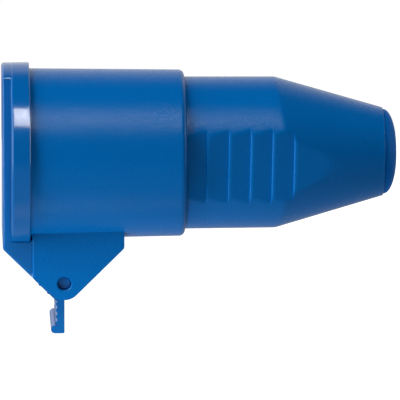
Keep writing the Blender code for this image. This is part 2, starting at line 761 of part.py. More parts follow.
def build_contact_carrier():
    """Insulating carrier with three contact chambers, a key and its flange."""
    carrier = turned(
        "contact_carrier",
        [
            (0.0, 0.0),
            (0.0, CARRIER_RADIUS - EDGE_BREAK),
            (EDGE_BREAK, CARRIER_RADIUS),
            (FLANGE_FRONT_X, CARRIER_RADIUS),
            (FLANGE_FRONT_X, FLANGE_RADIUS),
            (FLANGE_REAR_X, FLANGE_RADIUS),
            (FLANGE_REAR_X, CARRIER_RADIUS),
            (CARRIER_REAR_X, CARRIER_RADIUS),
            (CARRIER_REAR_X, 0.0),
        ],
        PARTS,
        HALF_STEP_ALONG_AXIS,
    )
    key = block(
        "carrier_key",
        (EDGE_BREAK, -KEY_WIDTH / 2, CARRIER_RADIUS - KEY_HEIGHT),
        (FLANGE_FRONT_X + EDGE_BREAK, KEY_WIDTH / 2, CARRIER_RADIUS + KEY_HEIGHT),
        CUTTERS,
    )
    join(carrier, key)
    for sizes in CONTACTS:
        chamber = turned(
            f"{sizes.name}_chamber",
            [
                (-CUT_MARGIN, 0.0),
                (-CUT_MARGIN, sizes.entry),
                (FACE_SKIN, sizes.entry),
                (FACE_SKIN, sizes.chamber),
                (CARRIER_REAR_X + CUT_MARGIN, sizes.chamber),
                (CARRIER_REAR_X + CUT_MARGIN, 0.0),
            ],
            CUTTERS,
            sizes.frame @ ALONG_AXIS,
            SMALL_STEPS,
        )
        cut(carrier, chamber)
    for side in (-1, 1):
        recess = turned(
            f"cover_screw_recess_{side}",
            [
                (-CUT_MARGIN, 0.0),
                (-CUT_MARGIN, COVER_SCREW_HEAD_RADIUS + TOUCH_GAP),
                (COVER_SCREW_SEAT, COVER_SCREW_HEAD_RADIUS + TOUCH_GAP),
                (COVER_SCREW_SEAT, COVER_SCREW_RADIUS + TOUCH_GAP),
                (CARRIER_REAR_X + CUT_MARGIN, COVER_SCREW_RADIUS + TOUCH_GAP),
                (CARRIER_REAR_X + CUT_MARGIN, 0.0),
            ],
            CUTTERS,
            Matrix.Translation((0.0, side * BOSS_Y, BOSS_Z)) @ ALONG_AXIS,
            SMALL_STEPS,
        )
        cut(carrier, recess)
    start = RETAINER_REAR_X - RETAINER_SCREW_LENGTH - CUT_MARGIN
    end = CARRIER_REAR_X + CUT_MARGIN
    radius = RETAINER_SCREW_RADIUS + TOUCH_GAP
    cut(carrier, rod("carrier_screw_hole", start, end, radius, CUTTERS))
    return finish(carrier, GREY_PLASTIC)


def build_contact(sizes):
    """Slotted brass sleeve with a collar and a wire terminal behind it."""
    front = FACE_SKIN + TOUCH_GAP
    contact = turned(
        f"{sizes.name}_contact",
        [
            (SLEEVE_DEPTH, 0.0),
            (SLEEVE_DEPTH, sizes.bore),
            (front, sizes.bore),
            (front, sizes.sleeve - EDGE_BREAK),
            (front + EDGE_BREAK, sizes.sleeve),
            (COLLAR_FRONT_X, sizes.sleeve),
            (COLLAR_FRONT_X, sizes.collar),
            (COLLAR_REAR_X, sizes.collar),
            (COLLAR_REAR_X, sizes.terminal),
            (TERMINAL_END_X, sizes.terminal),
            (TERMINAL_END_X, WIRE_BORE_RADIUS),
            (TERMINAL_END_X - WIRE_BORE_DEPTH, WIRE_BORE_RADIUS),
            (TERMINAL_END_X - WIRE_BORE_DEPTH, 0.0),
        ],
        PARTS,
        sizes.frame @ ALONG_AXIS,
        SMALL_STEPS,
    )
    slot = SLEEVE_SLOT_WIDTH / 2
    wide = sizes.chamber
    slot_start = front - CUT_MARGIN
    slot_end = front + SLEEVE_SLOT_LENGTH
    upright = block(
        f"{sizes.name}_slot_upright",
        (slot_start, -slot, -wide),
        (slot_end, slot, wide),
        CUTTERS,
        sizes.frame,
    )
    level = block(
        f"{sizes.name}_slot_level",
        (slot_start, -wide, -slot),
        (slot_end, wide, slot),
        CUTTERS,
        sizes.frame,
    )
    screw_frame = sizes.frame @ Matrix.Translation((TERMINAL_SCREW_X, 0.0, 0.0))
    hole = rod(
        f"{sizes.name}_terminal_hole",
        0.0,
        sizes.terminal + CUT_MARGIN,
        TERMINAL_SCREW_RADIUS + TOUCH_GAP,
        CUTTERS,
        screw_frame,
        SCREW_STEPS,
    )
    cut(contact, upright, level, hole)
    return finish(contact, BRASS)


def build_spring_ring(sizes):
    """Split steel ring that squeezes the slotted sleeve onto the pin."""
    start = FACE_SKIN + TOUCH_GAP + SPRING_RING_SETBACK
    end = start + SPRING_RING_LENGTH
    ring = turned(
        f"{sizes.name}_contact_spring",
        [
            (start, sizes.ring_inner),
            (start, sizes.ring_outer),
            (end, sizes.ring_outer),
            (end, sizes.ring_inner),
        ],
        PARTS,
        sizes.frame @ ALONG_AXIS,
        SMALL_STEPS,
    )
    slit = block(
        f"{sizes.name}_ring_slit",
        (start - CUT_MARGIN, -SPRING_RING_SLIT / 2, 0.0),
        (end + CUT_MARGIN, SPRING_RING_SLIT / 2, sizes.chamber + CUT_MARGIN),
        CUTTERS,
        sizes.frame @ Matrix.Rotation(SPRING_RING_TURN, 4, "X"),
    )
    cut(ring, slit)
    return finish(ring, STEEL)


def build_screw(name, tip, seat, radius, head_radius, head, frame):
    """Slotted cheese-head screw from its tip to its head along the frame's Z axis."""
    grow = 1 if seat > tip else -1
    top = seat + grow * head
    screw = turned(
        name,
        [
            (tip, 0.0),
            (tip, radius - EDGE_BREAK),
            (tip + grow * EDGE_BREAK, radius),
            (seat, radius),
            (seat, head_radius),
            (top - grow * EDGE_BREAK, head_radius),
            (top, head_radius - EDGE_BREAK),
            (top, 0.0),
        ],
        PARTS,
        frame,
        SCREW_STEPS,
    )
    low, high = sorted((top - grow * SLOT_DEPTH, top + grow * CUT_MARGIN))
    slot = block(
        f"{name}_slot",
        (-head_radius - CUT_MARGIN, -SLOT_WIDTH / 2, low),
        (head_radius + CUT_MARGIN, SLOT_WIDTH / 2, high),
        CUTTERS,
        frame,
    )
    cut(screw, slot)
    return finish(screw, STEEL)


def build_contact_retainer():
    """Plate that traps the contact collars and carries the cable saddle."""
    retainer = rod(
        "contact_retainer",
        RETAINER_FRONT_X,
        RETAINER_REAR_X,
        RETAINER_RADIUS,
        PARTS,
        steps=MEDIUM_STEPS,
    )
    arm = block(
        "clamp_arm",
        (RETAINER_REAR_X - EDGE_BREAK, -CLAMP_ARM_HALF_WIDTH, -CLAMP_BASE_DROP),
        (CLAMP_FRONT_X + EDGE_BREAK, CLAMP_ARM_HALF_WIDTH, -CLAMP_BASE_DROP + CLAMP_ARM_HEIGHT),
        CUTTERS,
    )
    base = block(
        "clamp_base",
        (CLAMP_FRONT_X, -CLAMP_HALF_WIDTH, -CLAMP_BASE_DROP + EDGE_BREAK),
        (CLAMP_REAR_X, CLAMP_HALF_WIDTH, -CLAMP_GAP),
        CUTTERS,
    )
    join(retainer, arm, base)
    for sizes in CONTACTS:
        collar_end = COLLAR_REAR_X + TOUCH_GAP
        hole = turned(
            f"{sizes.name}_retainer_hole",
            [
                (RETAINER_FRONT_X - CUT_MARGIN, 0.0),
                (RETAINER_FRONT_X - CUT_MARGIN, sizes.collar + TOUCH_GAP),
                (collar_end, sizes.collar + TOUCH_GAP),
                (collar_end, sizes.terminal + TOUCH_GAP),
                (RETAINER_REAR_X + CUT_MARGIN, sizes.terminal + TOUCH_GAP),
                (RETAINER_REAR_X + CUT_MARGIN, 0.0),
            ],
            CUTTERS,
            sizes.frame @ ALONG_AXIS,
            SMALL_STEPS,
        )
        cut(retainer, hole)
    plate_start = RETAINER_FRONT_X - CUT_MARGIN
    plate_end = RETAINER_REAR_X + CUT_MARGIN
    middle_radius = RETAINER_SCREW_RADIUS + TOUCH_GAP
    cut(retainer, rod("retainer_screw_hole", plate_start, plate_end, middle_radius, CUTTERS))
    for side in (-1, 1):
        frame = Matrix.Translation((0.0, side * BOSS_Y, BOSS_Z)) @ ALONG_AXIS
        radius = COVER_SCREW_RADIUS + SLIDE_GAP
        cut(retainer, rod(f"retainer_notch_{side}", plate_start, plate_end, radius, CUTTERS, frame))
        cut(retainer, clamp_screw_hole("base", side))
    cut(retainer, cable_trough("base_trough"))
    return finish(retainer, GREY_PLASTIC)


def cable_trough(name):
    """Return the round cutter that the cable lies in."""
    start = CLAMP_FRONT_X - CUT_MARGIN
    end = CLAMP_REAR_X + CUT_MARGIN
    return rod(name, start, end, CABLE_RADIUS + GROMMET_HOLE_GAP, CUTTERS)


def clamp_screw_frame(side):
    """Return the frame of one clamp screw, its Z pointing up."""
    return Matrix.Translation((CLAMP_MIDDLE_X, side * CLAMP_SCREW_SPREAD, 0.0))


def clamp_screw_hole(name, side):
    """Return the cutter for one clamp screw's hole."""
    reach = CLAMP_SCREW_REACH + CUT_MARGIN
    top = CLAMP_GAP + CLAMP_BAR_HEIGHT + CUT_MARGIN
    radius = CLAMP_SCREW_RADIUS + TOUCH_GAP
    frame = clamp_screw_frame(side)
    return rod(f"{name}_screw_hole_{side}", -reach, top, radius, CUTTERS, frame, SCREW_STEPS)


def build_clamp_bar():
    """Bar that presses the cable down on the saddle."""
    bar = block(
        "clamp_bar",
        (CLAMP_FRONT_X + EDGE_BREAK, -CLAMP_HALF_WIDTH, CLAMP_GAP),
        (CLAMP_REAR_X - EDGE_BREAK, CLAMP_HALF_WIDTH, CLAMP_GAP + CLAMP_BAR_HEIGHT),
        PARTS,
    )
    rounded(bar, EDGE_BREAK)
    cut(bar, cable_trough("bar_trough"))
    for side in (-1, 1):
        cut(bar, clamp_screw_hole("bar", side))
    return finish(bar, GREY_PLASTIC)


def build_cable_grommet():
    """Soft bush that clips into the cover's end, domed outside."""
    mouth_front = TAIL_WALL_X - TOUCH_GAP
    lip_radius = GROMMET_NECK_RADIUS + GROMMET_LIP
    dome = []
    for step in range(GROMMET_DOME_STEPS + 1):
        along = GROMMET_BULGE * math.sin(math.pi / 2 * step / GROMMET_DOME_STEPS)
        share = (along / GROMMET_DOME_DEPTH) ** GROMMET_FULLNESS
        reach = GROMMET_RADIUS * (1 - share) ** (1 / GROMMET_FULLNESS)
        dome.append((GROMMET_FRONT_X + along, reach))
    grommet = turned(
        "cable_grommet",
        [
            (mouth_front - GROMMET_LIP_THICKNESS, GROMMET_HOLE_RADIUS),
            (mouth_front - GROMMET_LIP_THICKNESS, lip_radius - EDGE_BREAK),
            (mouth_front - EDGE_BREAK, lip_radius),
            (mouth_front, lip_radius),
            (mouth_front, GROMMET_NECK_RADIUS),
            (GROMMET_FRONT_X, GROMMET_NECK_RADIUS),
            *dome,
            (GROMMET_END_X, GROMMET_HOLE_RADIUS + GROMMET_HOLE_EDGE),
            (GROMMET_END_X - GROMMET_HOLE_EDGE, GROMMET_HOLE_RADIUS),
        ],
        PARTS,
        steps=MEDIUM_STEPS,
    )
    return finish(grommet, BLUE_RUBBER)


def blade_outline():
    """Return the side outline of the lid's ridged underside and its lever."""
    front_x = CHIN_REAR_X - CHIN_WALL
    lever_front = PIN_X - LEVER_AHEAD_OF_PIN
    lever_back = lever_front + LEVER_THICKNESS
    lever_end = PIN_Z - LEVER_DROP
    corner = slope_point(lever_front, BLADE_RISE)
    points = [slope_point(front_x, -BLADE_SINK), slope_point(EAR_FRONT_X, -BLADE_SINK)]
    ramp = slope_point(EAR_FRONT_X + BLADE_RISE / math.sqrt(2), BLADE_RISE)
    points.append(ramp)
    for ridge in range(BLADE_RIDGES, 0, -1):
        along = corner[0] - ridge * BLADE_RIDGE_SPACING / math.sqrt(2)
        centre = slope_point(along, BLADE_RISE)
        points.extend(arc(centre, BLADE_RIDGE_RADIUS, 135, 315, ARC_STEPS - 1))
    points.append(corner)
    for ridge in range(LEVER_RIDGES):
        centre = (lever_front, corner[1] - LEVER_FIRST_RIDGE - ridge * LEVER_RIDGE_SPACING)
        points.extend(arc(centre, BLADE_RIDGE_RADIUS, 90, 270, ARC_STEPS - 1))
    lip = (lever_front - LEVER_LIP_AHEAD, lever_end + LEVER_LIP_RADIUS)
    lip_start = math.degrees(math.acos(LEVER_LIP_AHEAD / LEVER_LIP_RADIUS))
    points.extend(arc(lip, LEVER_LIP_RADIUS, lip_start, 270, ARC_STEPS + 1))
    inner_offset = BLADE_RISE - BLADE_THICKNESS
    shoulder = PIN_Z - KNUCKLE_RADIUS + EDGE_BREAK
    inner_foot = slope_point(0.0, inner_offset)[1] - shoulder
    points.append((lever_back, lever_end))
    points.append((lever_back, shoulder))
    points.append((inner_foot, shoulder))
    points.append(slope_point(front_x, inner_offset))
    return points


def cheek_outline():
    """Return the side outline of one lid cheek with its round knuckle."""
    front_x = CHIN_REAR_X - CHIN_WALL
    top = -SHROUD_FRONT_RADIUS - SLIDE_GAP
    low = slope_point(front_x, -CHIN_WALL / 2)
    foot = slope_point(PIN_X - KNUCKLE_RADIUS, -CHIN_WALL / 2)
    knuckle = arc((PIN_X, PIN_Z), KNUCKLE_RADIUS, 225, 495, ARC_STEPS * 4)
    return [(front_x, top), low, foot, *knuckle, (front_x + CHEEK_CREST, top)]


def chin_outline():
    """Return the side outline of the lid's chin, as deep as panel and rim together."""
    top = -SOCKET_BORE_RADIUS
    low_front = slope_point(PANEL_FACE_X, 0.0)
    low_rear = slope_point(CHIN_REAR_X, 0.0)
    return [(PANEL_FACE_X, top), low_front, low_rear, (CHIN_REAR_X, top)]


def panel_outline():
    """Return the front outline of the raised panel, which widens down to the chin."""
    radius = LID_RADIUS - PANEL_CROWN_DROP
    half_angle = math.degrees(math.asin(PANEL_HALF_WIDTH / radius))
    crown = arc((0.0, 0.0), radius, 90 - half_angle, 90 + half_angle, ARC_STEPS * 2)
    low = slope_point(PANEL_FACE_X, 0.0)[1]
    right = [(CHIN_HALF_WIDTH, low), (CHIN_HALF_WIDTH, -SOCKET_BORE_RADIUS)]
    left = [(-CHIN_HALF_WIDTH, -SOCKET_BORE_RADIUS), (-CHIN_HALF_WIDTH, low)]
    return [*right, *crown, *left]


def build_lid():
    """Domed cap with a raised front panel, a chin, hinge cheeks and a lever."""
    edge = (LID_FACE_X + LID_EDGE_ROUND, LID_RADIUS - LID_EDGE_ROUND)
    lid = turned(
        "lid",
        [
            (LID_FACE_X, 0.0),
            *arc(edge, LID_EDGE_ROUND, 180, 90, 3),
            (LID_RIM_X, LID_RADIUS),
            (LID_RIM_X, 0.0),
        ],
        PARTS,
    )
    panel_depth = LID_FACE_X - PANEL_FACE_X + LID_FACE_WALL / 2
    panel = prism(
        "lid_panel",
        panel_outline(),
        panel_depth / 2,
        CUTTERS,
        END_PLANE,
        (PANEL_FACE_X + panel_depth / 2, 0.0, 0.0),
    )
    chin = prism("lid_chin", chin_outline(), CHIN_HALF_WIDTH, CUTTERS)
    join(lid, panel, chin)
    cut(lid, *lid_hollow())
    blade = prism("lid_blade", blade_outline(), CHEEK_OUTER, CUTTERS)
    join(lid, blade)
    for side in (-1, 1):
        middle = side * (CHEEK_OUTER - CHEEK_INSET - CHEEK_THICKNESS / 2)
        cheek = prism(
            f"lid_cheek_{side}",
            cheek_outline(),
            CHEEK_THICKNESS / 2,
            CUTTERS,
            place=(0.0, middle, 0.0),
        )
        join(lid, cheek)
    pin_frame = Matrix.Translation((PIN_X, 0.0, PIN_Z)) @ ALONG_WIDTH
    reach = EAR_OUTER
    cut(lid, rod("lid_pin_hole", -reach, reach, PIN_HOLE_RADIUS, CUTTERS, pin_frame))
    return finish(lid, BLUE_GLOSS)


def lid_hollow():
    """Return the cutters for the lid's inside, its panel pocket and its chin."""
    rib_outer = GASKET_INNER_RADIUS - TOUCH_GAP
    rib_inner = rib_outer - GASKET_RIB
    rib_top = GASKET_FRONT_X + GASKET_THICKNESS / 2
    open_end = EAR_FRONT_X + CUT_MARGIN
    inside = turned(
        "lid_inside",
        [
            (LID_INNER_X, 0.0),
            (LID_INNER_X, rib_inner),
            (rib_top, rib_inner),
            (rib_top, rib_outer),
            (LID_INNER_X, rib_outer),
            (LID_INNER_X, LID_INNER_RADIUS),
            (open_end, LID_INNER_RADIUS),
            (open_end, 0.0),
        ],
        CUTTERS,
    )
    half_width = PANEL_HALF_WIDTH - PANEL_WALL
    pocket = block(
        "lid_panel_pocket",
        (PANEL_FACE_X + PANEL_WALL, -half_width, -PANEL_POCKET_HALF_HEIGHT),
        (LID_INNER_X + EDGE_BREAK, half_width, PANEL_POCKET_HALF_HEIGHT),
        CUTTERS,
    )
    top = -LID_RADIUS - EDGE_BREAK
    front = slope_point(top, -CHIN_WALL)[1]
    rear = CHIN_REAR_X + CUT_MARGIN
    chin = prism(
        "lid_chin_hollow",
        [(front, top), slope_point(rear, -CHIN_WALL), (rear, top)],
        CHIN_HALF_WIDTH - CHIN_WALL,
        CUTTERS,
    )
    return inside, pocket, chin


def build_lid_gasket():
    """Flat rubber ring that the lid presses on the shroud's rim."""
    gasket = turned(
        "lid_gasket",
        [
            (GASKET_FRONT_X, GASKET_INNER_RADIUS),
            (GASKET_FRONT_X, GASKET_OUTER_RADIUS),
            (GASKET_FRONT_X + GASKET_THICKNESS, GASKET_OUTER_RADIUS),
            (GASKET_FRONT_X + GASKET_THICKNESS, GASKET_INNER_RADIUS),
        ],
        PARTS,
        steps=MEDIUM_STEPS,
    )
    return finish(gasket, RUBBER)


def build_hinge_pin():
    """Plain moulded pin through both ears and both lid knuckles."""
    half = EAR_OUTER - PIN_RECESS
    pin = turned(
        "hinge_pin",
        [
            (-half, 0.0),
            (-half, PIN_RADIUS - PIN_CHAMFER),
            (PIN_CHAMFER - half, PIN_RADIUS),
            (half - PIN_CHAMFER, PIN_RADIUS),
            (half, PIN_RADIUS - PIN_CHAMFER),
            (half, 0.0),
        ],
        PARTS,
        Matrix.Translation((PIN_X, 0.0, PIN_Z)) @ ALONG_WIDTH,
        SMALL_STEPS,
    )
    return finish(pin, BLUE_GLOSS)


def spring_path():
    """Return the wire's path: a leg on the lever, the coil and a leg on the shroud."""
    lever_back = PIN_X - LEVER_AHEAD_OF_PIN + LEVER_THICKNESS
    rest = TOUCH_GAP + SPRING_WIRE / 2
    start_y = -SPRING_LENGTH / 2
    path = [(lever_back + rest, start_y, PIN_Z - SPRING_LEVER_REACH)]
    sweep = 2 * math.pi * (SPRING_TURNS + SPRING_END_TURN)
    points = SPRING_TURNS * SPRING_POINTS_PER_TURN
    for step in range(points + 1):
        angle = sweep * step / points
        along = PIN_X + SPRING_RADIUS * math.cos(angle)
        up = PIN_Z + SPRING_RADIUS * math.sin(angle)
        path.append((along, start_y + SPRING_LENGTH * step / points, up))
    shroud_z = -math.sqrt(SHROUD_FRONT_RADIUS ** 2 - (SPRING_LENGTH / 2) ** 2)
    top = shroud_z - rest
    last = path[-1]
    path.append((last[0] - (top - last[2]), last[1], top))
    return path


def build_lid_spring():
    """Torsion spring on the hinge pin that turns the lid shut."""
    curve = bpy.data.curves.new("lid_spring", "CURVE")
    curve.dimensions = "3D"
    curve.bevel_depth = SPRING_WIRE / 2
    curve.bevel_resolution = WIRE_ROUNDNESS
    curve.use_fill_caps = True
    path = spring_path()
    spline = curve.splines.new("POLY")
    spline.points.add(len(path) - 1)
    for point, place in zip(spline.points, path):
        point.co = (*place, 1.0)
    drawn = bpy.data.objects.new("lid_spring_wire", curve)
    PARTS.objects.link(drawn)
    spring = mesh_from_curve("lid_spring", drawn, PARTS)
    return finish(spring, STEEL)


def build_screws():
    """All the screws of the coupler."""
    for sizes in CONTACTS:
        build_screw(
            f"{sizes.name}_terminal_screw",
            TERMINAL_SCREW_RADIUS / 2,
            sizes.terminal + TOUCH_GAP,
            TERMINAL_SCREW_RADIUS,
            TERMINAL_SCREW_HEAD_RADIUS,
            TERMINAL_SCREW_HEAD,
            sizes.frame @ Matrix.Translation((TERMINAL_SCREW_X, 0.0, 0.0)),
        )
    seat = RETAINER_REAR_X + TOUCH_GAP
    build_screw(
        "retainer_screw",
        seat - RETAINER_SCREW_LENGTH,
        seat,
        RETAINER_SCREW_RADIUS,
        RETAINER_SCREW_HEAD_RADIUS,
        RETAINER_SCREW_HEAD,
        ALONG_AXIS,
    )
    for number, side in ((1, -1), (2, 1)):
        build_screw(
            f"cover_screw_{number}",
            COVER_SCREW_SEAT - TOUCH_GAP + COVER_SCREW_LENGTH,
            COVER_SCREW_SEAT - TOUCH_GAP,
            COVER_SCREW_RADIUS,
            COVER_SCREW_HEAD_RADIUS,
            COVER_SCREW_HEAD,
            Matrix.Translation((0.0, side * BOSS_Y, BOSS_Z)) @ ALONG_AXIS,
        )
        build_screw(
            f"clamp_screw_{number}",
            -CLAMP_SCREW_REACH,
            CLAMP_GAP + CLAMP_BAR_HEIGHT + TOUCH_GAP,
            CLAMP_SCREW_RADIUS,
            CLAMP_SCREW_HEAD_RADIUS,
            CLAMP_SCREW_HEAD,
            clamp_screw_frame(side),
        )


def hang_on_hinge(*pieces):
    """Parent the pieces of the lid to an empty on the hinge axis."""
    axis = bpy.data.objects.new("lid_hinge_axis", None)
    axis.location = (PIN_X, 0.0, PIN_Z)
    PARTS.objects.link(axis)
    bpy.context.view_layer.update()
    for piece in pieces:
        piece.parent = axis
        piece.matrix_parent_inverse = axis.matrix_world.inverted()


def main():
    """Build every piece of the coupler in its place."""
    build_front_housing()
    build_rear_cover()
    build_body_seal()
    build_contact_carrier()
    for sizes in CONTACTS:
        build_contact(sizes)
        build_spring_ring(sizes)
    build_contact_retainer()
    build_clamp_bar()
    build_cable_grommet()
    build_hinge_pin()
    build_lid_spring()
    build_screws()
    hang_on_hinge(build_lid(), build_lid_gasket())


main()
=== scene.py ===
"""Dressed scene of a trailing pin-and-sleeve cable socket with a sprung lid.

The long axis is X: the lid closes the open end at -X and the cable enters at +X.
The origin is the centre of the contact carrier's front face, +Z is up and the
lid's hinge hangs below the shroud. All lengths are in metres.
"""

import json
import logging
import math
from dataclasses import dataclass
from enum import Enum
from typing import Mapping, Optional, Sequence

import bpy
from mathutils import Matrix, Quaternion, Vector

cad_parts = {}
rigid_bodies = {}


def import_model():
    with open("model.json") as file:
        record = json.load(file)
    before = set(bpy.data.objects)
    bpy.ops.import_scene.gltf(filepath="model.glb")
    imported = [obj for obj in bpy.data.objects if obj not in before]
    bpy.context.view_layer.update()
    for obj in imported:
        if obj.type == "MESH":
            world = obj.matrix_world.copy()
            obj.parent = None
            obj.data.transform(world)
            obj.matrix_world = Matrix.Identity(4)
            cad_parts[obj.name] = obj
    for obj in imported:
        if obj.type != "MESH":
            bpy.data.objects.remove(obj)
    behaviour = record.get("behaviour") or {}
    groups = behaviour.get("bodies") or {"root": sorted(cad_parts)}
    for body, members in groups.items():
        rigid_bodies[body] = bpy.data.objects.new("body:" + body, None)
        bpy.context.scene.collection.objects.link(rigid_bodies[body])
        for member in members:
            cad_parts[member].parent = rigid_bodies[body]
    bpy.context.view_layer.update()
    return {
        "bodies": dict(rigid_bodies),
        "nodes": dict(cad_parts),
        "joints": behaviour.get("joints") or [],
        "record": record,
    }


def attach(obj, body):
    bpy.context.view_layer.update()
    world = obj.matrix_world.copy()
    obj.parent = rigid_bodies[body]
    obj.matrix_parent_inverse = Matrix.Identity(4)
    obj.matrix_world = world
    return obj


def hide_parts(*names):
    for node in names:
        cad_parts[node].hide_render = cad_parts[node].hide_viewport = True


LOG = logging.getLogger("cable_socket")

MM = 0.001
MERGE = 0.001 * MM
HAIR = 0.01 * MM
OVERCUT = 1.0 * MM
LID_OVERCUT = 1.2 * MM
THIN_EDGE = 0.08 * MM
MOULDED_EDGE = 0.25 * MM
TURN_STEPS = 192
COVER_STEPS = 256
FINE_STEPS = 64
SMALL_STEPS = 40
ROUND_STEPS = 8
SOFT_FACETS = 5
SMOOTH_ANGLE = math.radians(32)
BEVEL_ANGLE = math.radians(40)
FLAT_ANGLE = math.radians(1)
PHOTO_PIXELS = 400
SENSOR_WIDTH = 36.0
VIEW_DEPTH = 50.0

# How the noise of every finish is drawn, and the span in which most of it lies.
CLOUD_DETAIL = 3.0
GRAIN_DETAIL = 2.0
GRAIN_ROUGHNESS = 0.6
GRAIN_LOW = 0.3
GRAIN_HIGH = 0.7

# Sockets of a mix node that take and give colours.
MIX_FIRST = 6
MIX_SECOND = 7
MIX_RESULT = 2

Profile = Sequence[tuple[float, float]]

ALONG_X = Matrix.Rotation(math.radians(90), 4, "Y")
ALONG_Y = Matrix.Rotation(math.radians(-90), 4, "X")
SIDE_PLANE = Matrix.Rotation(math.radians(90), 4, "X")
END_PLANE = Matrix.Rotation(math.radians(90), 4, "Z") @ SIDE_PLANE


class Body(Enum):
    """The two rigid bodies of the socket."""

    COUPLER = "coupler_body"
    LID = "lid"


class Operation(Enum):
    """How one body is combined with another."""

    JOIN = "UNION"
    CUT = "DIFFERENCE"


def clear_selection() -> None:
    """Go back to object mode with nothing selected."""
    if bpy.context.mode != "OBJECT":
        bpy.ops.object.mode_set(mode="OBJECT")
    bpy.ops.object.select_all(action="DESELECT")


def activate(piece: bpy.types.Object) -> None:
    """Make one piece the only selected and active one.

    Args:
        piece: The object that the next operator acts on.
    """
    clear_selection()
    piece.select_set(True)
    bpy.context.view_layer.objects.active = piece


def arc(centre: tuple[float, float], radius: float, start: float, end: float,
        steps: int = ROUND_STEPS) -> list[tuple[float, float]]:
    """Return points along an arc.

    Args:
        centre: The arc's centre.
        radius: The arc's radius.
        start: The first angle, in degrees.
        end: The last angle, in degrees.
        steps: How many chords the arc has.

    Returns:
        The points from the first angle to the last.
    """
    points = []
    for step in range(steps + 1):
        angle = math.radians(start + (end - start) * step / steps)
        points.append((centre[0] + radius * math.cos(angle), centre[1] + radius * math.sin(angle)))
    return points


def draw_chain(name: str, points: Sequence[Vector], closed: bool) -> bpy.types.Object:
    """Draw a chain of edges as by hand: one point, extruded on from place to place.

    Args:
        name: The new object's name.
        points: The places along the chain.
        closed: Whether the chain is closed and filled with a face.

    Returns:
        The new object, in edit mode with all of it selected.
    """
    clear_selection()
    bpy.ops.mesh.primitive_plane_add(size=MM)
    piece = bpy.context.object
    piece.name = name
    piece.data.name = name
    bpy.ops.object.mode_set(mode="EDIT")
    bpy.ops.mesh.select_all(action="SELECT")
    bpy.ops.mesh.merge(type="CENTER")
    bpy.ops.transform.translate(value=points[0])
    for before, after in zip(points, points[1:]):
        bpy.ops.mesh.extrude_vertices_move(TRANSFORM_OT_translate={"value": after - before})
    bpy.ops.mesh.select_all(action="SELECT")
    if closed:
        bpy.ops.mesh.edge_face_add()
    return piece


def close_mesh() -> None:
    """Merge doubles of the mesh in edit mode, face it outwards and leave edit mode."""
    bpy.ops.mesh.select_all(action="SELECT")
    bpy.ops.mesh.remove_doubles(threshold=MERGE)
    bpy.ops.mesh.normals_make_consistent(inside=False)
    bpy.ops.object.mode_set(mode="OBJECT")


def turn(name: str, profile: Profile, frame: Matrix = ALONG_X, steps: int = TURN_STEPS) -> bpy.types.Object:
    """Spin a profile about a frame's Z axis, as on a lathe.

    Args:
        name: The new object's name.
        profile: Points of (along, radius). With both ends on the axis the body is
            solid, and otherwise the profile is closed into a ring.
        frame: The frame whose Z axis the profile turns about.
        steps: How many steps a full turn has.

    Returns:
        The new closed object.
    """
    solid = profile[0][1] == 0.0 and profile[-1][1] == 0.0
    points = [frame @ Vector((radius, 0.0, along)) for along, radius in profile]
    piece = draw_chain(name, points, closed=not solid)
    if not solid:
        bpy.ops.mesh.delete(type="ONLY_FACE")
        bpy.ops.mesh.select_all(action="SELECT")
    axis = frame.to_3x3() @ Vector((0.0, 0.0, 1.0))
    bpy.ops.mesh.spin(steps=steps, angle=math.tau, center=frame.translation, axis=axis)
    close_mesh()
    return piece


def prism(name: str, outline: Profile, half_depth: float, frame: Matrix) -> bpy.types.Object:
    """Fill a flat outline and extrude it to both sides of its plane.

    Args:
        name: The new object's name.
        outline: Points of the outline in the frame's XY plane.
        half_depth: How far the body reaches to each side.
        frame: The frame that the outline lies in.

    Returns:
        The new closed object.
    """
    points = [frame @ Vector((along, up, -half_depth)) for along, up in outline]
    piece = draw_chain(name, points, closed=True)
    reach = frame.to_3x3() @ Vector((0.0, 0.0, 2 * half_depth))
    bpy.ops.mesh.extrude_region_move(TRANSFORM_OT_translate={"value": reach})
    close_mesh()
    return piece


def block(name: str, low: Sequence[float], high: Sequence[float],
          frame: Optional[Matrix] = None) -> bpy.types.Object:
    """Make a box between two corners.

    Args:
        name: The new object's name.
        low: The lowest corner.
        high: The highest corner.
        frame: A frame that the corners are given in, or none for the world.

    Returns:
        The new closed object.
    """
    outline = [(low[0], low[1]), (high[0], low[1]), (high[0], high[1]), (low[0], high[1])]
    middle = Matrix.Translation((0.0, 0.0, (low[2] + high[2]) / 2))
    base = frame if frame is not None else Matrix.Identity(4)
    return prism(name, outline, (high[2] - low[2]) / 2, base @ middle)


def merge_flats(piece: bpy.types.Object) -> bpy.types.Object:
    """Merge a piece's faces that lie in one plane.

    Args:
        piece: The piece.

    Returns:
        The same piece.
    """
    activate(piece)
    bpy.ops.object.mode_set(mode="EDIT")
    bpy.ops.mesh.select_all(action="SELECT")
    bpy.ops.mesh.remove_doubles(threshold=MERGE)
    bpy.ops.mesh.dissolve_limited(angle_limit=FLAT_ANGLE)
    bpy.ops.object.mode_set(mode="OBJECT")
    return piece


def soften(piece: bpy.types.Object, width: float, segments: int = 3) -> bpy.types.Object:
    """Round a piece's sharp edges as a mould's edges are.

    Args:
        piece: The piece.
        width: How wide the rounding is.
        segments: How many facets it has.

    Returns:
        The same piece.
    """
    activate(piece)
    bevel = piece.modifiers.new("soft_edge", "BEVEL")
    bevel.width = width
    bevel.segments = segments
    bevel.limit_method = "ANGLE"
    bevel.angle_limit = BEVEL_ANGLE
    bevel.miter_outer = "MITER_ARC"
    bpy.ops.object.modifier_apply(modifier=bevel.name)
    return piece


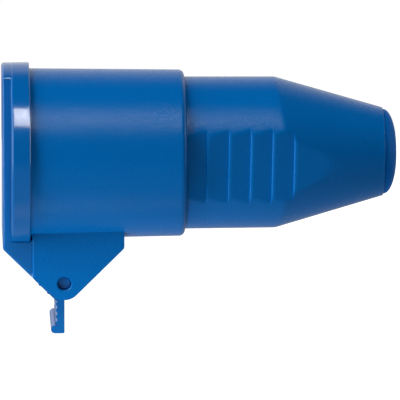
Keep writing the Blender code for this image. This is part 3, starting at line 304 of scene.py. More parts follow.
def combine(piece: bpy.types.Object, operation: Operation, *tools: bpy.types.Object) -> bpy.types.Object:
    """Join other bodies to a piece or cut them out of it, and remove them.

    Args:
        piece: The piece that is kept.
        operation: Whether to join or to cut.
        tools: The other bodies.

    Returns:
        The same piece.
    """
    for tool in tools:
        activate(piece)
        step = piece.modifiers.new(tool.name, "BOOLEAN")
        step.operation = operation.value
        step.solver = "EXACT"
        step.object = tool
        bpy.ops.object.modifier_apply(modifier=step.name)
        bpy.data.objects.remove(tool, do_unlink=True)
    return piece


def even_shading(piece: bpy.types.Object) -> None:
    """Let large faces set the shading next to narrow rounded edges.

    Args:
        piece: The piece, shaded smooth already.
    """
    activate(piece)
    weight = piece.modifiers.new("even_shading", "WEIGHTED_NORMAL")
    weight.keep_sharp = True
    bpy.ops.object.modifier_apply(modifier=weight.name)


def linear(code: str) -> tuple[float, float, float, float]:
    """Turn a six-digit sRGB colour code into linear colour.

    Args:
        code: The colour code, with no sign before it.

    Returns:
        Linear red, green, blue and full alpha.
    """
    channels = []
    for start in (0, 2, 4):
        value = int(code[start:start + 2], 16) / 255
        channels.append(value / 12.92 if value <= 0.04045 else ((value + 0.055) / 1.055) ** 2.4)
    return (channels[0], channels[1], channels[2], 1.0)


def add_node(tree: bpy.types.NodeTree, kind: str, inputs: Mapping[object, object],
             **settings: object) -> bpy.types.Node:
    """Add a node with its settings and links.

    Args:
        tree: The node tree.
        kind: The node's type.
        inputs: Socket name or number to a value, or to the socket that feeds it.
        settings: The node's own properties.

    Returns:
        The new node.
    """
    made = tree.nodes.new(kind)
    for key, value in settings.items():
        setattr(made, key, value)
    for key, value in inputs.items():
        if isinstance(value, bpy.types.NodeSocket):
            tree.links.new(value, made.inputs[key])
        else:
            made.inputs[key].default_value = value
    return made


@dataclass(frozen=True)
class Finish:
    """A finish with a fine grain and a faint cloud of colour.

    Attributes:
        name: The material's name.
        slot: The record's material slot that it belongs to; not used.
        colour: The main sRGB colour.
        shade: The sRGB colour that the cloud leans to.
        roughness: The mean roughness.
        spread: How far the grain moves the roughness.
        grain: The grain's size.
        relief: The grain's height.
        cloud: The size of the cloud of colour.
        metallic: 1 for a metal.
        specular: The specular level.
    """

    name: str
    slot: str
    colour: str
    shade: str
    roughness: float
    spread: float
    grain: float
    relief: float
    cloud: float = 20 * MM
    metallic: float = 0.0
    specular: float = 0.5

    def material(self) -> bpy.types.Material:
        """Return the finish's material, made once."""
        known = bpy.data.materials.get(self.name)
        if known is not None:
            return known
        material = bpy.data.materials.new(self.name)
        material.use_nodes = True
        tree = material.node_tree
        shader = tree.nodes["Principled BSDF"]
        shader.inputs["Metallic"].default_value = self.metallic
        shader.inputs["Specular IOR Level"].default_value = self.specular
        place = add_node(tree, "ShaderNodeTexCoord", {}).outputs["Object"]
        self.tint(tree, shader, place)
        self.surface(tree, shader, place)
        return material

    def tint(self, tree: bpy.types.NodeTree, shader: bpy.types.Node, place: bpy.types.NodeSocket) -> None:
        """Give the shader its colour, with a faint cloud in it.

        Args:
            tree: The material's node tree.
            shader: The shader node.
            place: The coordinates' socket.
        """
        cloud = add_node(
            tree, "ShaderNodeTexNoise", {"Vector": place, "Scale": 1 / self.cloud, "Detail": CLOUD_DETAIL}
        )
        mixed = add_node(
            tree,
            "ShaderNodeMix",
            {0: cloud.outputs["Fac"], MIX_FIRST: linear(self.colour), MIX_SECOND: linear(self.shade)},
            data_type="RGBA",
        )
        tree.links.new(mixed.outputs[MIX_RESULT], shader.inputs["Base Color"])

    def surface(self, tree: bpy.types.NodeTree, shader: bpy.types.Node, place: bpy.types.NodeSocket) -> None:
        """Give the shader its grain, in height and in roughness.

        Args:
            tree: The material's node tree.
            shader: The shader node.
            place: The coordinates' socket.
        """
        grain = add_node(
            tree,
            "ShaderNodeTexNoise",
            {"Vector": place, "Scale": 1 / self.grain, "Detail": GRAIN_DETAIL, "Roughness": GRAIN_ROUGHNESS},
        )
        spread = add_node(
            tree,
            "ShaderNodeMapRange",
            {
                "Value": grain.outputs["Fac"],
                "From Min": GRAIN_LOW,
                "From Max": GRAIN_HIGH,
                "To Min": self.roughness - self.spread,
                "To Max": self.roughness + self.spread,
            },
        )
        tree.links.new(spread.outputs["Result"], shader.inputs["Roughness"])
        bump = add_node(
            tree, "ShaderNodeBump", {"Height": grain.outputs["Fac"], "Strength": 1.0, "Distance": self.relief}
        )
        tree.links.new(bump.outputs["Normal"], shader.inputs["Normal"])


# Polyamide moulded in a spark-eroded tool: an even matt blue whose broad highlight
# breaks up into fine sparkles. The real grit is about 0.1 mm, drawn at 0.55 mm so
# that it shows at three pixels to the millimetre.
GRAINED_BLUE = Finish(
    name="blue_polyamide_spark_eroded",
    slot="blue_housing",
    colour="005CA1",
    shade="00579B",
    roughness=0.23,
    spread=0.06,
    grain=0.55 * MM,
    relief=0.1 * MM,
    specular=0.12,
)

# The same polyamide from a polished tool: smoother, so lamps show as clear shapes.
POLISHED_BLUE = Finish(
    name="blue_polyamide_polished",
    slot="blue_lid",
    colour="005699",
    shade="005293",
    roughness=0.17,
    spread=0.03,
    grain=1.2 * MM,
    relief=0.004 * MM,
    specular=0.30,
)

# Soft moulded elastomer: duller than the polyamide, with a faint bloom.
SOFT_BLUE = Finish(
    name="blue_elastomer_moulded",
    slot="blue_bush",
    colour="005DAC",
    shade="0059A5",
    roughness=0.50,
    spread=0.05,
    grain=0.6 * MM,
    relief=0.01 * MM,
    specular=0.03,
)

# Pale grey polyamide of the inner parts, matt from the tool.
GREY_POLYAMIDE = Finish(
    name="grey_polyamide_moulded",
    slot="grey_insulator",
    colour="C6C8C4",
    shade="BEC1BE",
    roughness=0.48,
    spread=0.06,
    grain=0.5 * MM,
    relief=0.012 * MM,
)

# Nickel over turned brass: bright with a warm cast and faint tool marks.
NICKELLED_BRASS = Finish(
    name="brass_turned_nickelled",
    slot="brass_contact",
    colour="CDBE8C",
    shade="C2B27E",
    roughness=0.28,
    spread=0.08,
    grain=0.3 * MM,
    relief=0.004 * MM,
    cloud=3 * MM,
    metallic=1.0,
)

# Zinc plating on steel: grey, a little cloudy.
ZINC_STEEL = Finish(
    name="steel_zinc_plated",
    slot="plated_steel",
    colour="B9BDC1",
    shade="A9AEB6",
    roughness=0.34,
    spread=0.08,
    grain=0.4 * MM,
    relief=0.005 * MM,
    cloud=2 * MM,
    metallic=1.0,
)

# Moulded black rubber: matt, slightly dusty.
BLACK_RUBBER = Finish(
    name="rubber_black_moulded",
    slot="black_rubber",
    colour="1E1F21",
    shade="2A2B2D",
    roughness=0.72,
    spread=0.08,
    grain=0.4 * MM,
    relief=0.01 * MM,
    cloud=6 * MM,
)


def dress(piece: bpy.types.Object, finish: Finish, body: Body, *nodes: str,
          even: bool = True) -> bpy.types.Object:
    """Shade a finished piece, give it its finish and let it ride on its body.

    Args:
        piece: The finished piece.
        finish: Its finish.
        body: The body that it moves with.
        nodes: The CAD nodes that it stands for.
        even: Whether large faces set the shading beside rounded edges.

    Returns:
        The same piece.
    """
    activate(piece)
    bpy.ops.object.shade_smooth_by_angle(angle=SMOOTH_ANGLE)
    if even:
        even_shading(piece)
    piece.data.materials.clear()
    piece.data.materials.append(finish.material())
    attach(piece, body.value)
    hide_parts(*nodes)
    LOG.info("%s stands for %s, %d faces", piece.name, ", ".join(nodes), len(piece.data.polygons))
    return piece


@dataclass
class Hinge:
    """Places that the housing, the lid, the pin and the spring share.

    Attributes:
        x: The pin's place along the socket.
        drop: How far the pin lies below the axis.
        hole: The radius of the pin holes.
        tip: The radius of the ears' tips.
        margin: How far the underside stands outside the tips' circle.
    """

    x: float = 10.7 * MM
    drop: float = 40.8 * MM
    hole: float = 2.3 * MM
    tip: float = 5.6 * MM
    margin: float = 0.44 * MM

    @property
    def frame(self) -> Matrix:
        """The frame on the pin, its Z along the pin."""
        return Matrix.Translation((self.x, 0.0, -self.drop)) @ ALONG_Y

    def slope(self, along: float, offset: float = 0.0) -> tuple[float, float]:
        """Return a point on the 45 degree underside of lid and ears.

        Args:
            along: The point's place along the socket.
            offset: How far the point is moved out from the underside.

        Returns:
            The point in the side plane.
        """
        out = self.tip + self.margin + offset
        return (along, self.x - self.drop - out * math.sqrt(2) - along)

    def bore(self, name: str, half: float, flare: float = 0.0) -> bpy.types.Object:
        """Return a rod as wide as the pin holes, with flared ends.

        Args:
            name: The rod's name.
            half: How far the holes reach to each side.
            flare: How wide the chamfer at the holes' outer edges is.

        Returns:
            The rod.
        """
        over = OVERCUT
        end = [(half - flare, self.hole), (half + over, self.hole + flare + over), (half + over, 0.0)]
        profile = [(-along, radius) for along, radius in reversed(end)]
        return turn(name, [*profile, *end], self.frame, FINE_STEPS)


@dataclass
class FrontHousing:
    """Round shroud with a floor, a keyway and the two hinge ears.

    Attributes:
        hinge: The hinge that the ears carry.
        rim: Place of the shroud's front rim.
        nose_end: Place where the nose under the lid steps up.
        rear: Place of the shroud's rear end.
        bore: Radius of the front bore.
        front_radius: Outside radius at the front.
        rear_radius: Outside radius at the rear.
        nose_radius: Outside radius of the nose under the lid.
        rear_round: Radius of the rear edge.
        floor: Place of the floor's front face.
        floor_rear: Place of the floor's rear face.
        floor_hole: Radius of the hole in the floor.
        rear_bore: Radius of the bore that takes the rear cover.
        ear_inner: Inner face of an ear.
        ear_outer: Outer face of an ear.
        ear_front: Front edge of the ears.
        ear_rear: Rear edge of the ears.
        ear_round: Rounding of the ears' outer front edge.
        ear_soft: Rounding of the ears' other edges.
        ear_corner: Rounding of the ears' rear corner.
        ear_root: How deep the ears reach into the shroud, as a share of its radius.
        hole_edge: Chamfer of the pin holes' outer edges.
        rim_edge: Rounding of the rim's outer edge.
        lead: Depth of the chamfer at the bore's mouth.
        keyway: Half width and top of the keyway.
        keyway_foot: How deep the keyway's cut starts inside the bore.
    """

    hinge: Hinge
    rim: float = -3.0 * MM
    nose_end: float = -1.1 * MM
    rear: float = 50.9 * MM
    bore: float = 26.0 * MM
    front_radius: float = 28.4 * MM
    rear_radius: float = 27.7 * MM
    nose_radius: float = 27.9 * MM
    rear_round: float = 1.8 * MM
    floor: float = 35.4 * MM
    floor_rear: float = 37.9 * MM
    floor_hole: float = 21.5 * MM
    rear_bore: float = 25.6 * MM
    ear_inner: float = 12.0 * MM
    ear_outer: float = 15.8 * MM
    ear_front: float = 0.0 * MM
    ear_rear: float = 30.6 * MM
    ear_round: float = 0.8 * MM
    ear_soft: float = 0.3 * MM
    ear_corner: float = 1.6 * MM
    ear_root: float = 0.75
    hole_edge: float = 0.35 * MM
    rim_edge: float = 0.5 * MM
    lead: float = 0.4 * MM
    keyway: tuple[float, float] = (4.5 * MM, 27.2 * MM)
    keyway_foot: float = 2 * MM

    def shroud(self) -> bpy.types.Object:
        """Return the shroud, still solid inside."""
        round_centre = (self.rear - self.rear_round, self.rear_radius - self.rear_round)
        edge = self.rim_edge
        profile = [
            (self.rim, 0.0),
            (self.rim, self.nose_radius - edge),
            *arc((self.rim + edge, self.nose_radius - edge), edge, 180, 90, 3)[1:],
            (self.nose_end, self.nose_radius),
            (self.nose_end, self.front_radius - edge / 2),
            (self.nose_end + edge / 2, self.front_radius),
            *arc(round_centre, self.rear_round, 90, 0),
            (self.rear, 0.0),
        ]
        return turn("shroud_and_ears", profile)

    def ear(self, side: int) -> bpy.types.Object:
        """Return one hinge ear.

        Args:
            side: -1 for the near side and 1 for the far side.

        Returns:
            The ear as a body of its own.
        """
        pin = (self.hinge.x, -self.hinge.drop)
        tip = arc(pin, self.hinge.tip, 225, 315, 2 * ROUND_STEPS)
        root = -self.ear_root * self.front_radius
        foot = tip[-1][1] + self.ear_rear - tip[-1][0]
        rear_centre = (self.ear_rear - self.ear_corner, foot + self.ear_corner * math.tan(math.pi / 8))
        outline = [
            (self.ear_front, root),
            self.hinge.slope(self.ear_front),
            *tip,
            *arc(rear_centre, self.ear_corner, -45, 0, ROUND_STEPS),
            (self.ear_rear, root),
        ]
        middle = Matrix.Translation((0.0, side * (self.ear_inner + self.ear_outer) / 2, 0.0))
        half = (self.ear_outer - self.ear_inner) / 2
        ear = prism(f"ear_{side}", outline, half, middle @ SIDE_PLANE)
        over = OVERCUT
        centre = (self.ear_front + self.ear_round, self.ear_outer - self.ear_round)
        corner = [
            (self.ear_front - over, centre[1]),
            *arc(centre, self.ear_round, 180, 90, 2 * ROUND_STEPS),
            (centre[0], self.ear_outer + over),
            (self.ear_front - over, self.ear_outer + over),
        ]
        corner = [(along, side * across) for along, across in corner]
        level = Matrix.Translation((0.0, 0.0, -self.hinge.drop))
        combine(ear, Operation.CUT, prism(f"ear_corner_{side}", corner, self.hinge.drop, level))
        return soften(ear, self.ear_soft)

    def hollow(self) -> bpy.types.Object:
        """Return the body that both bores are cut with."""
        over = OVERCUT
        profile = [
            (self.rim - over, 0.0),
            (self.rim - over, self.bore + over),
            (self.rim + self.lead, self.bore),
            (self.floor, self.bore),
            (self.floor, self.floor_hole),
            (self.floor_rear, self.floor_hole),
            (self.floor_rear, self.rear_bore),
            (self.rear + over, self.rear_bore),
            (self.rear + over, 0.0),
        ]
        return turn("shroud_hollow", profile)

    def build(self) -> bpy.types.Object:
        """Make the housing and dress it."""
        piece = self.shroud()
        combine(piece, Operation.JOIN, self.ear(-1), self.ear(1))
        half, top = self.keyway
        low = (self.rim - OVERCUT, -half, self.bore - self.keyway_foot)
        keyway = block("keyway", low, (self.floor, half, top))
        combine(piece, Operation.CUT, self.hollow(), keyway)
        combine(piece, Operation.CUT, self.hinge.bore("ear_holes", self.ear_outer, self.hole_edge))
        return dress(piece, GRAINED_BLUE, Body.COUPLER, "front_housing")


# Where the rings lie on a grip step's rounded crest, from its edge on, and how long
# the crest's rounding is for its depth.
CREST_ROWS = (0.0 * MM, 0.06 * MM, 0.12 * MM, 0.2 * MM, 0.3 * MM, 0.42 * MM)
CREST_LENGTH = 1.4


@dataclass
class RearCover:
    """Oval handle with stepped finger grips that runs into a round cone.

    Attributes:
        front: Place of the front end, inside the shroud.
        oval_front: Place where the handle leaves the shroud as an oval.
        round_end: Place where it stops being round.
        cone_start: Place where the cone starts at the top.
        cone_end: Place where the cone ends.
        tail_round: Radius of the tail's edge.
        top_radius: Half the handle's height.
        side_radius: Half the handle's width.
        draft: How much the handle narrows to the cone.
        end_radius: The cone's end radius.
        groove: Front and rear of the seal's groove.
        groove_radius: Radius of the groove's floor.
        wall: The cover's wall.
        pocket: Radius and end of the pocket round the contact carrier.
        mouth: Radius of the hole that takes the cable bush.
        lip_room: Inside radius behind the tail's wall.
        tail_wall: Place of the inner face of the tail's wall.
        inner_side: Half width of the flat-sided hollow.
        grip_front: Place where the first grip step starts.
        teeth: Number of grip steps on each side.
        pitch: Distance from step to step.
        tilt: How far the steps lean along the socket for their height.
        first_flat: Half width at the first step.
        rise: How deep each step runs in over its pitch.
        lean: How much deeper each step starts than the one before.
        crest: Rounding of a step's crest.
        crease: Rounding of the crease between handle and cone.
        brow: Rounding of the edge between handle and grips.
        skin: How far under the outside a point of the blank counts as inside.
        edge: Chamfer of the front end.
        foot: Gap between a step's last ring and the next step's edge.
        step: Inset of the pocket's inner edge.
        row: Distance between the rings where the crease runs.
        fine: How far from the cone's start the rings lie so close.
    """

    front: float = 38.2 * MM
    oval_front: float = 50.4 * MM
    round_end: float = 47.4 * MM
    cone_start: float = 80.9 * MM
    cone_end: float = 116.8 * MM
    tail_round: float = 0.3 * MM
    top_radius: float = 25.4 * MM
    side_radius: float = 24.4 * MM
    draft: float = 0.18 * MM
    end_radius: float = 14.8 * MM
    groove: tuple[float, float] = (43.0 * MM, 45.2 * MM)
    groove_radius: float = 23.8 * MM
    wall: float = 2.8 * MM
    pocket: tuple[float, float] = (22.0 * MM, 46.0 * MM)
    mouth: float = 11.7 * MM
    lip_room: float = 13.0 * MM
    tail_wall: float = 112.9 * MM
    inner_side: float = 18.5 * MM
    grip_front: float = 50.25 * MM
    teeth: int = 6
    pitch: float = 7.21 * MM
    tilt: float = 0.017
    first_flat: float = 22.4 * MM
    rise: float = 1.1 * MM
    lean: float = 0.1 * MM
    crest: float = 0.42 * MM
    crease: float = 0.12 * MM
    brow: float = 0.25 * MM
    skin: float = 1.6 * MM
    edge: float = 0.5 * MM
    foot: float = 0.08 * MM
    step: float = 0.2 * MM
    row: float = 0.4 * MM
    fine: float = 22 * MM

    def rows(self) -> list[float]:
        """Return the places along the handle and cone that get a ring of points."""
        places = []
        for tooth in range(self.teeth):
            start = self.grip_front + tooth * self.pitch
            for along in CREST_ROWS:
                places.append(start + along)
            for step in range(1, ROUND_STEPS + 1):
                run = self.pitch - self.crest - self.foot
                places.append(start + self.crest + run * step / ROUND_STEPS)
        last = places[-1]
        fine = self.cone_start + self.fine
        count = round((fine - last) / self.row)
        for step in range(1, count + 1):
            places.append(last + (fine - last) * step / count)
        for step in range(1, ROUND_STEPS + 1):
            places.append(fine + (self.cone_end - fine) * step / ROUND_STEPS)
        return places

    def cone_radius(self, along: float) -> float:
        """Return the cone's radius at a place along the socket."""
        start = self.top_radius - self.draft
        share = (along - self.cone_start) / (self.cone_end - self.cone_start)
        return start + (self.end_radius - start) * share

    def flat(self, along: float) -> float:
        """Return the half width that the finger grips leave at a place."""
        reach = along - self.grip_front + 2 * HAIR
        if reach < 0.0:
            return 2 * self.top_radius
        tooth = min(int(reach / self.pitch), self.teeth - 1)
        into = reach - tooth * self.pitch
        width = self.first_flat - tooth * self.lean - self.rise * into / self.pitch
        rounding = max(0.0, 1.0 - into / (self.crest * CREST_LENGTH)) if tooth else 0.0
        return width - self.crest * rounding * rounding

    def leaned(self, along: float, up: float) -> float:
        """Return the place that a point of the blank moves to as the grips lean.

        Args:
            along: The point's place along the socket.
            up: The point's height.

        Returns:
            The new place, which is the old one where the grips have ended.
        """
        left = (self.grip_front + self.teeth * self.pitch - along) / self.pitch
        return along + self.tilt * up * min(1.0, max(0.0, left))

    @staticmethod
    def smaller(first: float, second: float, blend: float) -> float:
        """Return the smaller of two sizes, with the edge between them rounded.

        Args:
            first: The first size.
            second: The second size.
            blend: How wide the rounding is.

        Returns:
            The smaller size, or a little less where the two are alike.
        """
        share = min(1.0, max(0.0, 0.5 + 0.5 * (second - first) / blend))
        return second + (first - second) * share - blend * share * (1.0 - share)

    def press(self, piece: bpy.types.Object) -> None:
        """Press the oval, the cone and the finger grips into the turned blank.

        Args:
            piece: The turned blank.
        """
        for vertex in piece.data.vertices:
            along, across, up = vertex.co
            radius = math.hypot(across, up)
            if radius < MERGE:
                continue
            outside = min(self.top_radius, self.cone_radius(along)) - self.skin
            if along < self.round_end + MERGE or radius < outside:
                if along > self.pocket[1] + MERGE and abs(across) > self.inner_side:
                    vertex.co.y = math.copysign(self.inner_side, across)
                continue
            if along > self.cone_end + MERGE:
                continue
            angle = math.atan2(across, up)
            flat = self.flat(along)
            along = self.leaned(along, up)
            oval = 1.0 / math.hypot(math.cos(angle) / self.top_radius, math.sin(angle) / self.side_radius)
            handle = oval - self.draft * (along - self.oval_front) / (self.cone_start - self.oval_front)
            reach = self.smaller(handle, self.cone_radius(along), self.crease)
            width = abs(reach * math.sin(angle))
            width = self.smaller(width, flat, self.brow)
            vertex.co.x = along
            vertex.co.y = math.copysign(width, across)
            vertex.co.z = reach * math.cos(angle)
        piece.data.update()

    def build(self) -> bpy.types.Object:
        """Make the cover and dress it."""
        edge = self.edge
        groove_front, groove_rear = self.groove
        pocket_radius, pocket_end = self.pocket
        inner = self.top_radius - self.wall
        outer = []
        for along in self.rows():
            outer.append((along, min(self.top_radius, self.cone_radius(along))))
        tail = arc((self.cone_end, self.end_radius - self.tail_round), self.tail_round, 90, 0, 6)
        profile = [
            (self.front, pocket_radius),
            (self.front, self.top_radius - edge),
            (self.front + edge, self.top_radius),
            (groove_front, self.top_radius),
            (groove_front, self.groove_radius),
            (groove_rear, self.groove_radius),
            (groove_rear, self.top_radius),
            (self.round_end, self.top_radius),
            *outer,
            *tail[1:],
            (tail[-1][0], self.mouth),
            (self.tail_wall, self.mouth),
            (self.tail_wall, self.lip_room),
            (self.cone_start, inner),
            (pocket_end + self.step, inner),
            (pocket_end, pocket_radius),
        ]
        piece = turn("handle_and_cone", profile, steps=COVER_STEPS)
        self.press(piece)
        return dress(piece, GRAINED_BLUE, Body.COUPLER, "rear_cover", even=False)


@dataclass
class CableBush:
    """Soft bush in the cone's end, domed outside, with a hole for the cable.

    Attributes:
        lip: Front of the inner lip and its radius.
        neck: Front of the neck and its radius.
        shoulder: Place of the outer shoulder and its radius.
        end: Place of the flat end.
        depth: Depth that the dome would have without the flat end.
        fullness: How full the dome is, 2 for an ellipse.
        hole: Radius of the cable's hole.
        lip_soft: Chamfer of the inner lip's edges.
        hole_edge: Rounding of the hole's outer edge.
    """

    lip: tuple[float, float] = (110.5 * MM, 12.5 * MM)
    neck: tuple[float, float] = (112.6 * MM, 11.4 * MM)
    shoulder: tuple[float, float] = (117.13 * MM, 14.15 * MM)
    end: float = 121.4 * MM
    depth: float = 4.62 * MM
    fullness: float = 2.2
    hole: float = 4.2 * MM
    lip_soft: float = 0.5 * MM
    hole_edge: float = 0.2 * MM

    def build(self) -> bpy.types.Object:
        """Make the bush and dress it."""
        soft = self.lip_soft
        rim = self.hole_edge
        shoulder_x, shoulder_radius = self.shoulder
        dome = []
        for along, _ in arc((0.0, 0.0), self.end - shoulder_x, 90, 0, 3 * ROUND_STEPS):
            share = (along / self.depth) ** self.fullness
            dome.append((shoulder_x + along, shoulder_radius * (1.0 - share) ** (1.0 / self.fullness)))
        profile = [
            (self.lip[0], self.hole),
            (self.lip[0], self.lip[1] - soft),
            (self.neck[0] - soft, self.lip[1]),
            (self.neck[0], self.lip[1]),
            self.neck,
            (shoulder_x, self.neck[1]),
            *dome,
            *arc((self.end - rim, self.hole + rim), rim, 0, -90, 4),
        ]
        piece = turn("cable_bush", profile)
        return dress(piece, SOFT_BLUE, Body.COUPLER, "cable_grommet", even=False)


@dataclass
class Lid:
    """Cap with a raised front panel, a chin, hinge cheeks and a finger lever.

    Attributes:
        hinge: The hinge that the lid turns on.
        face: Place of the disc's front face.
        panel_face: Place of the raised panel's front face.
        inner: Place of the inner face.
        rim: Place of the rim's rear edge.
        chin_rear: Place of the chin's rear edge.
        radius: Outside radius of the cap.
        inner_radius: Inside radius of the cap.
        edge_round: Rounding of the cap's front edge.
        panel_half: Half the panel's width at its crown.
        panel_radius: Radius of the panel's crown.
        chin_half: Half the chin's width.
        chin_wall: Wall of the chin.
        chin_top: Height where panel and chin reach the chin's width.
        chin_drop: How far the chin stands out from the ears' underside.
        soft: Rounding of the panel's and the chin's edges.
        cheek: Inner and outer face of a hinge cheek.
        cheek_top: Height of the cheeks' top edge.
        cheek_crest: Place where the cheeks' top edge ends.
        knuckle: Radius of the knuckles.
        blade_half: Half the width of the ridged blade and the lever.
        blade_rise: How far the blade stands out from the ears' underside.
        blade_wall: The blade's wall.
        lever_front: Place of the lever's front face.
        lever_back: Place of the lever's back face.
        lever_end: Place of the lever's lower end.
        ridge: Radius of the finger ridges.
        lip: Radius of the lip at the lever's end.
        rim_edge: Chamfer of the rim's rear edge.
        panel_sink: How deep the panel reaches into the cap.
        panel_wall: Wall of the panel.
        pocket_half: Half the height of the hollow behind the panel.
        rib: Outer and inner radius of the rib under the gasket, and its top.
        blade_front: Place where the blade steps out from the chin.
        blade_sink: How deep the blade lies inside the chin.
        blade_ridges: Number of ridges on the blade.
        blade_gap: Distance between them.
        lever_ridges: Number of ridges on the lever.
        lever_first: Distance from the lever's corner to its first ridge.
        lever_gap: Distance between its ridges.
        lever_round: Rounding of the lever's back edge, and of the blade's shoulder.
        blade_soft: Rounding of the blade's other edges.
        bore_half: How far the pin holes reach to each side.
    """

    hinge: Hinge
    face: float = -6.9 * MM
    panel_face: float = -9.7 * MM
    inner: float = -5.1 * MM
    rim: float = -0.6 * MM
    chin_rear: float = -0.1 * MM
    radius: float = 30.4 * MM
    inner_radius: float = 28.8 * MM
    edge_round: float = 0.9 * MM
    panel_half: float = 11.0 * MM
    panel_radius: float = 30.37 * MM
    chin_half: float = 15.3 * MM
    chin_wall: float = 2.0 * MM
    chin_top: float = -26.0 * MM
    chin_drop: float = 0.18 * MM
    soft: float = 0.9 * MM
    cheek: tuple[float, float] = (8.8 * MM, 11.3 * MM)
    cheek_top: float = -28.9 * MM
    cheek_crest: float = 4.5 * MM
    knuckle: float = 5.2 * MM
    blade_half: float = 11.5 * MM
    blade_rise: float = 0.75 * MM
    blade_wall: float = 2.6 * MM
    lever_front: float = 8.35 * MM
    lever_back: float = 10.8 * MM
    lever_end: float = -58.9 * MM
    ridge: float = 0.55 * MM
    lip: float = 1.4 * MM
    rim_edge: float = 0.25 * MM
    panel_sink: float = 0.9 * MM
    panel_wall: float = 2.0 * MM
    pocket_half: float = 23 * MM
    rib: tuple[float, float, float] = (25.1 * MM, 23.7 * MM, -4.05 * MM)
    blade_front: float = 0.3 * MM
    blade_sink: float = 0.3 * MM
    blade_ridges: int = 2
    blade_gap: float = 4.0 * MM
    lever_ridges: int = 4
    lever_first: float = 0.75 * MM
    lever_gap: float = 2.15 * MM
    lever_round: float = 0.5 * MM
    blade_soft: float = 0.16 * MM
    bore_half: float = 14.0 * MM

    def cap(self) -> bpy.types.Object:
        """Return the round cap, still solid inside."""
        edge = (self.face + self.edge_round, self.radius - self.edge_round)
        back = self.rim_edge
        profile = [
            (self.face, 0.0),
            *arc(edge, self.edge_round, 180, 90, 6),
            (self.rim - back, self.radius),
            (self.rim, self.radius - back),
            (self.rim, 0.0),
        ]
        return turn("lid_shell", profile)

    def panel(self) -> bpy.types.Object:
        """Return the raised panel on the cap's face, wider towards the chin."""
        half_angle = math.degrees(math.asin(self.panel_half / self.panel_radius))
        crown = arc((0.0, 0.0), self.panel_radius, 90 - half_angle, 90 + half_angle, 2 * ROUND_STEPS)
        low = self.hinge.slope(self.panel_face, self.chin_drop)[1]
        wide = self.chin_half - HAIR
        outline = [(wide, low), (wide, self.chin_top), *crown, (-wide, self.chin_top), (-wide, low)]
        half = (self.face - self.panel_face + self.panel_sink) / 2
        middle = Matrix.Translation((self.panel_face + half, 0.0, 0.0))
        return soften(prism("lid_panel", outline, half, middle @ END_PLANE), self.soft, SOFT_FACETS)

    def chin(self) -> bpy.types.Object:
        """Return the chin under the cap, cut off along the hinge's underside."""
        front = self.panel_face + HAIR
        rear = self.chin_rear + 2 * self.soft
        outline = [
            (front, self.chin_top),
            self.hinge.slope(front, self.chin_drop),
            self.hinge.slope(rear, self.chin_drop),
            (rear, self.chin_top),
        ]
        chin = soften(prism("lid_chin", outline, self.chin_half, SIDE_PLANE), self.soft, SOFT_FACETS)
        reach = 2 * self.radius
        spare = block("lid_chin_spare", (self.chin_rear, -reach, -reach), (rear + reach, reach, reach))
        return combine(chin, Operation.CUT, spare)

    def blade(self) -> bpy.types.Object:
        """Return the ridged blade on the underside with the finger lever."""
        front = self.chin_rear - self.chin_wall
        sunk = -self.blade_sink
        corner = self.hinge.slope(self.lever_front, self.blade_rise)
        points = [self.hinge.slope(front, sunk), self.hinge.slope(self.blade_front, sunk)]
        points.append(self.hinge.slope(self.blade_front + self.blade_rise / math.sqrt(2), self.blade_rise))
        for ridge in range(self.blade_ridges, 0, -1):
            along = corner[0] - ridge * self.blade_gap / math.sqrt(2)
            centre = self.hinge.slope(along, self.blade_rise - self.ridge / 2)
            points.extend(arc(centre, self.ridge, 165, 285, 6))
        points.append(corner)
        for ridge in range(self.lever_ridges):
            centre = (self.lever_front, corner[1] - self.lever_first - ridge * self.lever_gap)
            points.extend(arc(centre, self.ridge, 90, 270, 6))
        lip = (self.lever_front - self.lip / 2, self.lever_end + self.lip)
        points.extend(arc(lip, self.lip, 60, 270, 12))
        back = (self.lever_back - self.lever_round, self.lever_end + self.lever_round)
        points.extend(arc(back, self.lever_round, -90, 0, 4))
        shoulder = -self.hinge.drop - self.knuckle + self.lever_round
        inner = self.blade_rise - self.blade_wall
        points.append((self.lever_back, shoulder))
        points.append((self.hinge.slope(0.0, inner)[1] - shoulder, shoulder))
        points.append(self.hinge.slope(front, inner))
        return soften(prism("lid_blade", points, self.blade_half, SIDE_PLANE), self.blade_soft, 2)

    def cheek_plate(self, side: int) -> bpy.types.Object:
        """Return one hinge cheek with its knuckle.

        Args:
            side: -1 for the near side and 1 for the far side.

        Returns:
            The cheek.
        """
        front = self.chin_rear - self.chin_wall
        foot = self.hinge.slope(self.hinge.x - self.knuckle, -self.chin_wall / 2)
        pin = (self.hinge.x, -self.hinge.drop)
        outline = [
            (front, self.cheek_top),
            self.hinge.slope(front, -self.chin_wall / 2),
            foot,
            *arc(pin, self.knuckle, 225, 495, 4 * ROUND_STEPS),
            (self.cheek_crest, self.cheek_top),
        ]
        inner, outer = self.cheek
        middle = Matrix.Translation((0.0, side * (inner + outer) / 2, 0.0))
        return prism(f"lid_cheek_{side}", outline, (outer - inner) / 2, middle @ SIDE_PLANE)

